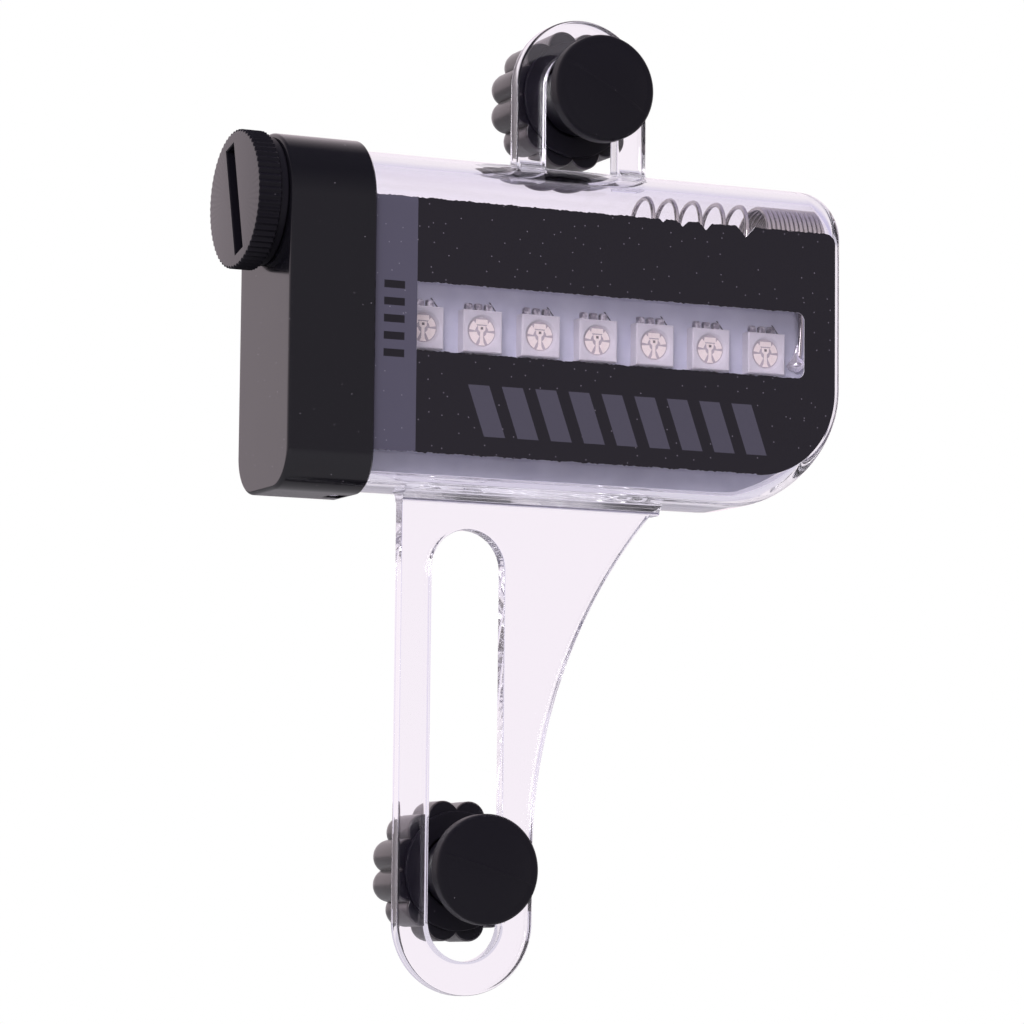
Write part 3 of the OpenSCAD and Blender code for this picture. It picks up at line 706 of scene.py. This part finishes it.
def section(half, foot, low, high, x):
    """Loop in the plane X = x with fixed point counts: a half round, straight sides, two rounds below."""
    turn = spaced(0, math.pi, round_points)
    quarter = turn[:round_points // 2]
    top = high - half
    foot_z = low + foot
    y = [half * np.cos(turn), np.full(flat_points, -half), foot - half - foot * np.cos(quarter),
         spaced(foot - half, half - foot, flat_points), half - foot + foot * np.sin(quarter),
         np.full(flat_points, half)]
    z = [top + half * np.sin(turn), spaced(top, foot_z, flat_points), foot_z - foot * np.sin(quarter),
         np.full(flat_points, low), foot_z - foot * np.cos(quarter), spaced(foot_z, top, flat_points)]
    y = np.concatenate(y)
    return np.column_stack([np.full(len(y), x), y, np.concatenate(z)])


def cap_loop(inset, x):
    """Outline of the end cap, drawn in by an inset."""
    return section(cap_high[1] - inset, cap_foot - inset, cap_low[2] + inset, cap_high[2] - inset, x)


def mouth_loop(radius, x):
    """Round of the battery mouth."""
    return section(radius, radius, tube_z - radius, tube_z + radius, x)


def end_cap():
    """Loops from the rim along the outside, over the rounded edge, through the mouth and back inside."""
    left, right = cap_low[0], cap_high[0]
    bend = np.radians(np.linspace(0, 90, 9))
    rows = [cap_loop(cap_wall, right - rim_edge), cap_loop(cap_wall - rim_edge, right)]
    rows += [cap_loop(rim_edge, right), cap_loop(0, right - rim_edge)]
    rows += [cap_loop(cap_edge * (1 - math.cos(a)), left + cap_edge * (1 - math.sin(a))) for a in bend]
    rows += [mouth_loop(mouth_r + mouth_edge, left), mouth_loop(mouth_r, left + mouth_edge)]
    rows += [mouth_loop(mouth_r, left + cap_face), cap_loop(cap_wall, left + cap_face)]
    return loft("end_cap", rows, ring=True)


snap_window = block((snap_right - snap_len, snap_right), (-snap_half, snap_half),
                    (cap_low[2] - cut_past, cap_low[2] + cap_wall + window_past))
cap_mesh = cut(end_cap(), [snap_window])
place("end_cap_moulding", cap_mesh, [gloss_abs()], "lamp", "end_cap", flat=True)


# Battery cap, contact and seal
# A satin black nylon screw cap with a knurled head and a coin slot. Its threaded plug goes into the mouth,
# a rubber ring lies in the groove behind its collar, and a nickel disc is set in its nose.

def black_nylon(name, rough, gloss, ground, bloom=0.0):
    """Moulded black nylon with a spark-eroded skin: blue-black, with dust specks and a grain in its gloss,
    drawn coarse enough to show. A bloom makes it paler at a slant."""
    material, tree, shader = new_material(name, ior=1.53, specular_ior_level=gloss, sheen_weight=bloom,
                                          sheen_roughness=0.3)
    grained(tree, shader, grain_mm=0.25, detail=3.0, relief_mm=0.02, strength=0.5, rough=rough)
    tree.links.new(dusty(tree, ground, "#8d8890", 1.2, 0.05), shader.inputs["Base Color"])
    return material


def turned(name, origin, axis, angle, rows, **closing):
    """Mesh turned about a level axis. Each row is a radius, even or one per angle, at a height along it."""
    axis = np.array(axis, float)
    across = np.array([0, 0, 1.0])
    up = np.cross(axis, across)
    around = np.cos(angle)[:, None] * across + np.sin(angle)[:, None] * up
    radius = np.stack([np.broadcast_to(r, angle.shape) for r, height in rows])
    along = np.stack([np.broadcast_to(height, angle.shape) for r, height in rows])
    return loft(name, np.array(origin) + radius[..., None] * around + along[..., None] * axis, **closing)


def face_first(mesh, direction, least=0.9):
    """Gives the faces that look in a direction the first material, and all others the second."""
    normals = np.array([polygon.normal for polygon in mesh.polygons])
    mesh.polygons.foreach_set("material_index", (normals @ direction < least).astype(int))
    return mesh


knob_low, knob_high = node_box("battery_cap")
ridge_count = 64
ridge_points = 10
ridge_depth = 0.24
knob_r = (knob_high[1] - knob_low[1]) / 2
knob_len = 2.9
knob_edge = 0.15
knob_back_len = 0.25
knob_back_in = 0.2
collar_r = 7.51
collar_gap = 0.12
collar_right = cap_low[0] - collar_gap
collar_edge_len = 0.15
collar_edge_in = 0.12
groove_r = 6.76
groove_half = 0.55
groove_in = groove_r - groove_half
groove_out = groove_r + groove_half
groove_depth = 0.9
plug_r = 5.95
plug_step = 0.02
thread_pitch = 1.25
thread_depth = 0.32
thread_gap = 0.15
thread_start = collar_right + thread_gap
thread_run_out = 0.1
thread_end = cap_low[0] + cap_face - thread_run_out
thread_fade = 0.3
nose_r = 5.0
nose_edge = 0.2
coin_len = 13.0
coin_w = 2.4
coin_depth = 1.6
coin_edge = 0.12
coin_clear = 0.5
coin_flare = 0.6
face_skin = 0.001
coin_lean = math.radians(15)


def battery_cap():
    """Turned loops from the face to the nose: rounded knurled head, collar with the ring's groove, thread."""
    angle = spaced(0, math.tau, ridge_count * ridge_points)
    ridge = ridge_depth * (0.5 - 0.5 * np.cos(angle * ridge_count)) ** 0.8
    face, nose = knob_low[0], knob_high[0]
    back = face + knob_len
    bend = np.radians(np.linspace(0, 90, 7))
    rows = [(0.0, face), (knob_r - knob_edge - ridge_depth, face)]
    rows += [(knob_r - knob_edge * (1 - np.sin(a)) - ridge * np.sin(a) - ridge_depth * (1 - np.sin(a)),
              face + knob_edge * (1 - np.cos(a))) for a in bend]
    rows += [(knob_r - ridge, back - knob_back_len), (knob_r - ridge_depth - knob_back_in, back)]
    rows += [(collar_r, back), (collar_r, collar_right - collar_edge_len)]
    rows += [(collar_r - collar_edge_in, collar_right), (groove_out, collar_right)]
    rows += [(groove_out, collar_right - groove_depth), (groove_in, collar_right - groove_depth)]
    rows += [(groove_in, collar_right), (plug_r - thread_depth, collar_right + plug_step)]
    steps = np.linspace(thread_start, thread_end, 34)
    phase = ((steps[:, None] - thread_start) / thread_pitch - angle / math.tau) % 1
    fade = np.minimum(np.minimum(steps - thread_start, thread_end - steps) / thread_fade, 1)
    rows += zip(plug_r - thread_depth * (1 - fade[:, None] * (1 - np.abs(2 * phase - 1))), steps)
    rows += [(nose_r, thread_end + thread_run_out), (nose_r, nose - nose_edge)]
    rows += [(nose_r - nose_edge, nose), (0.0, nose)]
    return turned("battery_cap", (0, 0, tube_z), (1, 0, 0), angle, rows)


def coin_slot():
    """Cutter for the coin slot: a leaning rectangle that starts wide in front of the face and is a little
    wider at the face than below, to break its edge."""
    face = knob_low[0]
    levels = [(face - coin_clear, coin_flare), (face - face_skin, coin_edge), (face + coin_edge, 0.0),
              (face + coin_depth, 0.0)]
    loops = []
    for x, ease in levels:
        across = np.array([-1, 1, 1, -1]) * (coin_w / 2 + ease)
        up = np.array([-1, -1, 1, 1]) * (coin_len / 2 + ease)
        y = across * math.cos(coin_lean) + up * math.sin(coin_lean)
        z = tube_z + up * math.cos(coin_lean) - across * math.sin(coin_lean)
        loops.append(np.column_stack([np.full(4, x), y, z]))
    return loft("coin_slot", loops)


knob_nylon = black_nylon("satin_black_nylon", (0.16, 0.24), 0.5, "#14121a")
matt_nylon = black_nylon("matt_black_nylon", (0.4, 0.52), 0.22, "#14121a")
knob_mesh = face_first(cut(battery_cap(), [coin_slot()]), (-1, 0, 0))
place("battery_cap_moulding", knob_mesh, [knob_nylon, matt_nylon], "battery_cap",
      "battery_cap", flat=True)
finish_node("battery_cap_contact", nickel)
# Black nitrile rubber: matt, with a faint bloom.
finish_node("battery_cap_seal", mottled("black_nitrile_rubber", "#121213", "#232325", 1.5, roughness=0.7))


# Labels
# A black printed film on each face of the case, with a grey band beside the end cap, grey bars below the
# window, and hand-cut edges that are nicked and a little torn.

def printed_film(face):
    """Printed vinyl film: black, a grey band with a row of short black ticks, and a row of slanted grey bars.
    The print is a set of steps on Object coordinates; the skin is satin, with dust under it."""
    material, tree, shader = new_material("printed_vinyl_film_" + face, roughness=0.32)
    coords = add_node(tree, "TexCoord")
    axes = add_node(tree, "SeparateXYZ", links={"Vector": coords.outputs["Object"]})
    x = axes.outputs["X"]
    z = axes.outputs["Z"]
    flat = add_node(tree, "CombineXYZ", links={"X": x, "Y": z}).outputs["Vector"]
    ground = dusty(tree, "#1e1b23", "#68626f", 1.8, 0.08, flat)

    def step(socket, edge_mm, above=True):
        """1 on one side of an edge and 0 on the other."""
        kind = "GREATER_THAN" if above else "LESS_THAN"
        return add_node(tree, "Math", {"operation": kind, 1: edge_mm * MM}, {0: socket}).outputs[0]

    def both(*sockets):
        """1 where all patterns are 1: their product."""
        whole = sockets[0]
        for socket in sockets[1:]:
            whole = add_node(tree, "Math", {"operation": "MULTIPLY"}, {0: whole, 1: socket}).outputs[0]
        return whole

    def repeat(socket, pitch_mm, width_mm):
        """Stripes: 1 over a width at the start of each pitch."""
        turn = add_node(tree, "Math", {"operation": "WRAP", 1: pitch_mm * MM, 2: 0.0}, {0: socket})
        return step(turn.outputs[0], width_mm, above=False)

    lean = add_node(tree, "Math", {"operation": "MULTIPLY_ADD", 1: bar_slant}, {0: z, 2: x}).outputs[0]
    bars = both(repeat(lean, bar_pitch, bar_width), step(z, bar_low), step(z, bar_high, False),
                step(lean, bar_first * bar_pitch), step(lean, bar_end * bar_pitch, False))
    ticks = both(repeat(z, tick_pitch, tick_width), step(x, tick_left), step(x, tick_right, False),
                 step(z, tick_low), step(z, tick_high, False))
    band = step(x, window_left, above=False)
    band_colour = dusty(tree, "#504d5f", "#7f7c8c", 1.8, 0.07, flat)
    with_ticks = add_node(tree, "Mix", {"data_type": "RGBA", 7: linear("#1b1820")},
                          {0: ticks, 6: band_colour})
    with_bars = add_node(tree, "Mix", {"data_type": "RGBA", 7: linear("#4a4756")}, {0: bars, 6: ground})
    colour = add_node(tree, "Mix", {"data_type": "RGBA"},
                      {0: band, 6: with_bars.outputs[2], 7: with_ticks.outputs[2]})
    tree.links.new(colour.outputs[2], shader.inputs["Base Color"])
    grained(tree, shader, grain_mm=2.5, relief_mm=0.02)
    return material


film_low, film_high = node_box("label_front")
film_t = 0.15
film_corner = flat_corner_low
film_top_corner = 1.2
film_r = -film_low[1]
band_width = 5.4
window_margin = 4.2
window_left = film_low[0] + band_width
window_right = film_high[0] - window_margin
window_low = -33.0
window_high = -25.0
window_corner = 1.0
bar_slant = 0.35
bar_pitch = 4.3
bar_width = 2.7
bar_low = -42.6
bar_high = -36.6
bar_first = -7
bar_end = 2
tick_pitch = 2.0
tick_width = 0.9
tick_left = -28.0
tick_right = -25.4
tick_low = -35.0
tick_high = -25.0
nicks = ((7.9, 0.9, 0.35), (10.5, 1.5, 0.7), (13.6, 1.7, 0.9), (19.0, 2.5, 1.3))
film_inset = 0.1
film_counts = {"top": 420, "right": 160, "bottom": 420, "left": 120}


def ragged(along, size, seed):
    """Hand-cut unevenness along an edge: a third of a sum of sines, from half a millimetre to five long."""
    sines = 14
    random = np.random.default_rng(seed)
    lengths = np.geomspace(0.5, 5, sines)
    phases = random.uniform(0, math.tau, sines)
    weights = random.uniform(0.3, 1, sines)
    waves = weights[:, None] * np.sin(math.tau * along[None, :] / lengths[:, None] + phases[:, None])
    return size * waves.sum(0) / 3


def corner_path(right, high, low, corner, count):
    """Evenly spaced points down a right side and round its lower corner."""
    turn = np.linspace(0, math.pi / 2, 40)
    x = np.concatenate([[right], right - corner + corner * np.cos(turn)])
    z = np.concatenate([[high], low + corner - corner * np.sin(turn)])
    length = np.concatenate([[0], np.cumsum(np.hypot(np.diff(x), np.diff(z)))])
    even = spaced(0, length[-1], count)
    return np.interp(even, length, x), np.interp(even, length, z)


def film_edge():
    """The film's outer edge as a loop from the top left: nicked top, right side, bottom, left side."""
    left, right = film_low[0], film_high[0]
    low, high = film_low[2], film_high[2]
    top_x = spaced(left, right, film_counts["top"])
    top_z = high - film_inset + ragged(top_x, size=0.06, seed=3)
    for centre, width, depth in nicks:
        top_z -= depth * np.clip(1 - np.abs(top_x - centre) / (width / 2), 0, 1)
    past = np.maximum(top_x - right + film_top_corner, 0)
    top_z -= film_top_corner - np.sqrt(film_top_corner ** 2 - past ** 2)
    right_x, right_z = corner_path(right, high - film_top_corner, low, film_corner, film_counts["right"])
    low_x = spaced(right - film_corner, left, film_counts["bottom"])
    low_z = low + film_inset + ragged(low_x, size=0.07, seed=5)
    left_z = spaced(low, high, film_counts["left"])
    return np.column_stack([np.concatenate([top_x, right_x, low_x, np.full(len(left_z), left)]),
                            np.concatenate([top_z, right_z, low_z, left_z])])


def window_edge():
    """The window's edge as a loop with the same counts on its sides, with two round corners at the right."""
    middle_x = window_right - window_corner
    turn = spaced(0, math.pi / 2, film_counts["right"] // 2)
    across = window_corner * np.sin(turn)
    along = window_corner * np.cos(turn)
    top_x = spaced(window_left, middle_x, film_counts["top"])
    low_x = spaced(middle_x, window_left, film_counts["bottom"])
    left_z = spaced(window_low, window_high, film_counts["left"])
    x = [top_x, middle_x + across, middle_x + along, low_x, np.full(len(left_z), window_left)]
    z = [window_high + ragged(top_x, size=0.05, seed=7), window_high - window_corner + along,
         window_low + window_corner - across, window_low + ragged(low_x, size=0.05, seed=9), left_z]
    return np.column_stack([np.concatenate(x), np.concatenate(z)])


def label(side):
    """Film between its window and its outer edge, laid on the case's face and a little round its top."""
    outer, window = film_edge(), window_edge()
    # Rows lie close together where the film bends and at the window's cut edge.
    share = np.concatenate([[0, 0.004], np.linspace(0.06, 0.7, 6), np.linspace(0.76, 0.99, 8), [1]])
    flat = window[None] + (outer - window)[None] * share[:, None, None]
    drop = np.maximum(flat[..., 1] - tube_z, 0)
    skins = []
    for radius in (film_r, film_r - film_t):
        y = np.sqrt(radius ** 2 - drop ** 2)
        skins.append(np.stack([flat[..., 0], side * y, flat[..., 1]], -1))
    mesh = loft("label", np.concatenate([skins[0], skins[1][::-1]]), ring=True)
    return face_first(mesh, (0, side, 0), 0.5)


# White paper-like vinyl core and adhesive, seen at the cut edges and from inside the case. On the cut edges
# its pale tone is also a painted highlight along the film's edge.
backing_and_edge_highlight = mottled("white_film_backing_and_painted_edge_highlight", "#c9c6d0", "#e2dfe8", 1.2, 3.0, roughness=0.6)
for face, side in board_sides.items():
    finishes = [printed_film(face), backing_and_edge_highlight]
    place(f"label_{face}_film", label(side), finishes, "lamp", f"label_{face}", flat=True)


# Spoke clamps
# Two alike: a nylon bolt with a domed head in front of the plate, a thin washer and a lobed thumb nut behind.
# The bolt's shoulder runs in the slot, and a spoke is gripped between the head and the plate.

bolt_low, bolt_high = node_box("upper_clamp_bolt")
nut_low, nut_high = node_box("upper_clamp_nut")
washer_low, washer_high = node_box("upper_clamp_washer")
head_r = (bolt_high[0] - bolt_low[0]) / 2
dome_h = 1.3
dome_sunk = 0.04
dome_points = 26
rim_h = 2.0
head_edge = 0.8
edge_reach = 1.15
back_edge = 0.4
shoulder_r = 4.4
shoulder_end = 1.0
shoulder_root = 0.25
shoulder_edge = 0.2
thread_r = 2.5
clamp_pitch = 0.8
clamp_thread_depth = 0.35
clamp_thread_gap = 0.1
tip_edge = 0.3
tip_in = 0.1
mould_line_rise = 0.1
mould_line_half = 0.13


def clamp_bolt(x, z, line_turn):
    """Turned loops from the top of the dome over the rounded rim, down the shoulder and along the thread.
    A raised mould line runs across the dome: a bump that falls off with the distance from a diameter."""
    near = np.radians(np.linspace(-5, 5, 21))
    angle = np.concatenate([spaced(0, math.tau, 240), line_turn + near, line_turn + math.pi + near])
    angle = np.unique(np.round(angle % math.tau, 6))
    sphere = (head_r ** 2 + dome_h ** 2) / (2 * dome_h)
    dome_r = np.linspace(0, head_r - head_edge * edge_reach, dome_points)
    dome_y = bolt_low[1] + sphere - np.sqrt(sphere ** 2 - dome_r ** 2)
    off_line = dome_r[:, None] * np.sin(angle - line_turn)
    line = mould_line_rise * np.exp(-(off_line / mould_line_half) ** 2)
    rows = list(zip(dome_r, dome_y[:, None] + dome_sunk - line))
    slope = math.asin(dome_r[-1] / sphere)
    bend = np.linspace(slope, math.pi / 2, 9)[1:]
    edge_y = dome_y[-1] + head_edge * math.cos(slope)
    rows += zip(head_r - head_edge + head_edge * np.sin(bend), edge_y - head_edge * np.cos(bend))
    back = bolt_low[1] + dome_h + rim_h
    under = np.radians(np.linspace(0, 90, 6))
    rows += zip(head_r - back_edge * (1 - np.cos(under)), back - back_edge * (1 - np.sin(under)))
    rows += [(shoulder_r + shoulder_root, back), (shoulder_r, back + shoulder_root)]
    rows += [(shoulder_r, shoulder_end - shoulder_edge), (shoulder_r - shoulder_edge, shoulder_end)]
    core_r = thread_r - clamp_thread_depth
    tip = bolt_high[1]
    rows += [(core_r, shoulder_end)]
    steps = np.linspace(shoulder_end + clamp_thread_gap, tip - tip_edge, 46)
    phase = (steps[:, None] / clamp_pitch - angle / math.tau) % 1
    rows += zip(thread_r - clamp_thread_depth * np.abs(2 * phase - 1), steps)
    rows += [(core_r - tip_in, tip), (0.0, tip)]
    return turned("clamp_bolt", (x, 0, z), (0, 1, 0), angle, rows)


lobe_count = 12
lobe_points = 48
lobe_circle_r = 6.4
lobe_r = 2.0
ball_start = 0.4
nut_bore_r = 2.56
nut_bore_edge = 0.3
counterbore_r = 4.5
counterbore = 2.7
counterbore_edge = 0.2
nut_dish = 1.2
dish_r = 5.9
dish_slope = 1.2
dish_fall = 0.8
nut_edge = 0.3


def clamp_nut(x, z):
    """Loops round the nut: counterbore, front face, lobed wall, then the dished back with ball-ended lobes.
    In each direction the wall is the far side of the nearest lobe's circle."""
    angle = spaced(0, math.tau, lobe_count * lobe_points)
    pitch = math.tau / lobe_count
    away = angle % pitch - pitch / 2
    beside = lobe_circle_r * np.sin(away)
    wall = lobe_circle_r * np.cos(away) + np.sqrt(np.maximum(lobe_r ** 2 - beside ** 2, 0))
    front, back = nut_low[1], nut_high[1]
    ball = back - lobe_r
    bend = np.radians(np.linspace(0, 90, 5))
    rows = [(nut_bore_r, front + counterbore), (counterbore_r, front + counterbore),
            (counterbore_r, front + counterbore_edge), (counterbore_r + counterbore_edge, front)]
    rows += [(wall - nut_edge * (1 - np.sin(a)), front + nut_edge * (1 - np.cos(a))) for a in bend]
    rows += [(wall, ball - ball_start)]
    for share in np.concatenate([np.linspace(1, 0.9, 9), np.linspace(0.88, 0.5, 20)]):
        r = wall * share
        gap = np.hypot(r * np.cos(away) - lobe_circle_r, r * np.sin(away))
        lobe_top = ball + np.sqrt(np.maximum(lobe_r ** 2 - gap ** 2, 0))
        dish = back - nut_dish - dish_fall * np.clip((r - dish_r) / dish_slope, 0, 1)
        rows.append((r, np.where(gap < lobe_r, np.maximum(lobe_top, dish), dish)))
    rows += [(nut_bore_r + nut_bore_edge, back - nut_dish), (nut_bore_r, back - nut_dish + nut_bore_edge)]
    return turned("clamp_nut", (x, 0, z), (0, 1, 0), angle, rows, ring=True, crease=50)


def clamp_washer(x, z):
    """Flat ring with broken edges."""
    front, back = washer_low[1], washer_high[1]
    outer = (washer_high[0] - washer_low[0]) / 2
    ease = 0.1
    rows = [(counterbore_r, front + ease), (counterbore_r + ease, front), (outer - ease, front),
            (outer, front + ease), (outer, back - ease), (outer - ease, back),
            (counterbore_r + ease, back), (counterbore_r, back - ease)]
    return turned("clamp_washer", (x, 0, z), (0, 1, 0), spaced(0, math.tau, 160), rows, ring=True)


# Paler nylon for the nut's lobes, sides and back: painted light. The nut's front faces keep the darker matt
# nylon: painted shade.
lit_nut_nylon = black_nylon("black_nylon_painted_lit", (0.28, 0.36), 1.0, "#2a2427", 0.4)
line_turns = {"upper": math.radians(119), "lower": math.radians(107)}
for which, line_turn in line_turns.items():
    x, z = middle(f"{which}_clamp_bolt")
    washer_body = "lamp" if which == "upper" else "lower_washer"
    # Front faces of the nut take the darker matt nylon as painted shade, all its other faces the paler nylon
    # as painted light.
    nut_mesh = face_first(clamp_nut(x, z), (0, -1, 0))
    place(f"{which}_bolt_moulding", clamp_bolt(x, z, line_turn), [matt_nylon], f"{which}_bolt",
          f"{which}_clamp_bolt")
    place(f"{which}_nut_moulding", nut_mesh, [matt_nylon, lit_nut_nylon], f"{which}_nut",
          f"{which}_clamp_nut", flat=True)
    place(f"{which}_washer_disc", clamp_washer(x, z), [matt_nylon], washer_body,
          f"{which}_clamp_washer")


# Studio
# A white tent: soft light from above and from the front, a white backdrop that shines through the clear
# plastic, and a pale floor well below the part. Light runs far inside the walls of clear plastic, so a
# path may bounce many times. Lamps and camera are placed in metres.

def light_table():
    """Pale glowing floor, as on a light table: nearly white to the camera, a breath of lavender through clear
    plastic, and it keeps the object's soft shadow."""
    glow_share = 0.8
    material, tree, shader = new_material("pale_light_table", base_color=linear("#98979b"), roughness=0.9)
    path = add_node(tree, "LightPath")
    tone = add_node(tree, "Mix", {"data_type": "RGBA", 6: linear("#ffffff"), 7: linear("#f0ecf7")},
                    {0: path.outputs["Is Transmission Ray"]})
    glow = add_node(tree, "Emission", links={"Color": tone.outputs[2]})
    seen = add_node(tree, "Math", {"operation": "MAXIMUM"},
                    {0: path.outputs["Is Camera Ray"], 1: path.outputs["Is Transmission Ray"]})
    share = add_node(tree, "Math", {"operation": "MULTIPLY", 1: glow_share}, {0: seen.outputs[0]})
    mix = add_node(tree, "MixShader", links={0: share.outputs[0], 1: shader.outputs[0], 2: glow.outputs[0]})
    tree.links.new(mix.outputs[0], tree.nodes["Material Output"].inputs["Surface"])
    return material


floor_z = -150.0
floor_half = 3000.0
floor_mesh = bpy.data.meshes.new("floor")
corners = np.array([[-1, -1], [1, -1], [1, 1], [-1, 1]]) * floor_half
floor_mesh.from_pydata((np.column_stack([corners, np.full(4, floor_z)]) * MM).tolist(), [], [[0, 1, 2, 3]])
floor_mesh.materials.append(light_table())
add_object("floor", floor_mesh)


def tent_world():
    """White to the camera; through clear plastic white before and behind, lavender at the sides; in
    reflections bright behind, with a breath of pink, dim in front and black above."""
    world = bpy.data.worlds.new("white_tent")
    bpy.context.scene.world = world
    world.use_nodes = True
    tree = world.node_tree
    tree.nodes.clear()
    coords = add_node(tree, "TexCoord")
    axes = add_node(tree, "SeparateXYZ", links={"Vector": coords.outputs["Generated"]})
    depth = add_node(tree, "Math", {"operation": "ABSOLUTE"}, {0: axes.outputs["Y"]})
    away = add_node(tree, "MapRange", {"From Min": 0.15, "From Max": 0.6}, {"Value": depth.outputs[0]})
    sunk = add_node(tree, "Math", {"operation": "MULTIPLY_ADD", 1: -0.6},
                    {0: axes.outputs["Z"], 2: axes.outputs["Y"]})
    behind = add_node(tree, "MapRange", {"From Min": -0.4, "From Max": 0.3}, {"Value": sunk.outputs[0]})
    through = add_node(tree, "Mix", {"data_type": "RGBA", 6: linear("#d6d0ea"), 7: linear("#fff9fc")},
                       {0: away.outputs[0]})
    above = add_node(tree, "MapRange", {"From Min": 0.2, "From Max": 0.8}, {"Value": axes.outputs["Z"]})
    dim = add_node(tree, "Mix", {"data_type": "RGBA", 6: linear("#928d93"), 7: linear("#202022")},
                   {0: above.outputs[0]})
    mirrored = add_node(tree, "Mix", {"data_type": "RGBA", 7: linear("#fff0f8")},
                        {0: behind.outputs[0], 6: dim.outputs[2]})
    path = add_node(tree, "LightPath")
    glossy = add_node(tree, "Mix", {"data_type": "RGBA", 6: linear("#dfdade")},
                      {0: path.outputs["Is Glossy Ray"], 7: mirrored.outputs[2]})
    clear = add_node(tree, "Mix", {"data_type": "RGBA"},
                     {0: path.outputs["Is Transmission Ray"], 6: glossy.outputs[2], 7: through.outputs[2]})
    seen = add_node(tree, "Mix", {"data_type": "RGBA", 7: linear("#ffffff")},
                    {0: path.outputs["Is Camera Ray"], 6: clear.outputs[2]})
    back = add_node(tree, "Background", links={"Color": seen.outputs[2]})
    add_node(tree, "OutputWorld", links={"Surface": back.outputs[0]})


def soft_box(name, spot, aim, size, power):
    """Square area lamp at a spot, turned to an aim, in metres and watts. Gloss shows the tent instead."""
    lamp = bpy.data.lights.new(name, "AREA")
    lamp.size = size
    lamp.energy = power
    lamp_object = add_object(name, lamp)
    lamp_object.visible_glossy = False
    lamp_object.location = spot
    x, y, z = np.array(aim) - np.array(spot)
    lamp_object.rotation_euler = (math.atan2(math.hypot(x, y), -z), 0, math.atan2(x, -y) + math.pi)
    return lamp_object


light_bounces = 64
paths = bpy.context.scene.cycles
paths.max_bounces = light_bounces
paths.glossy_bounces = light_bounces
paths.transmission_bounces = light_bounces
tent_world()
lamp_aim = (0, 0, -0.05)
top_box = soft_box("top_box", (0.1, -0.15, 0.9), lamp_aim, size=0.7, power=7)
top_box.visible_transmission = False
soft_box("front_box", (-0.7, -0.9, 0.35), lamp_aim, size=0.6, power=7)

camera_spot = (-0.22632, -0.47537, -0.10712)
camera_turn = (96.195, -0.573, -24.703)
camera_lens = 156.71
camera_sensor = 36.0
camera_data = bpy.data.cameras.new("camera")
camera_data.lens = camera_lens
camera_data.sensor_width = camera_sensor
camera_data.clip_start = 0.01
camera = add_object("camera", camera_data)
camera.location = camera_spot
camera.rotation_euler = np.radians(camera_turn)
bpy.context.scene.camera = camera
bpy.context.scene.view_settings.view_transform = "Standard"
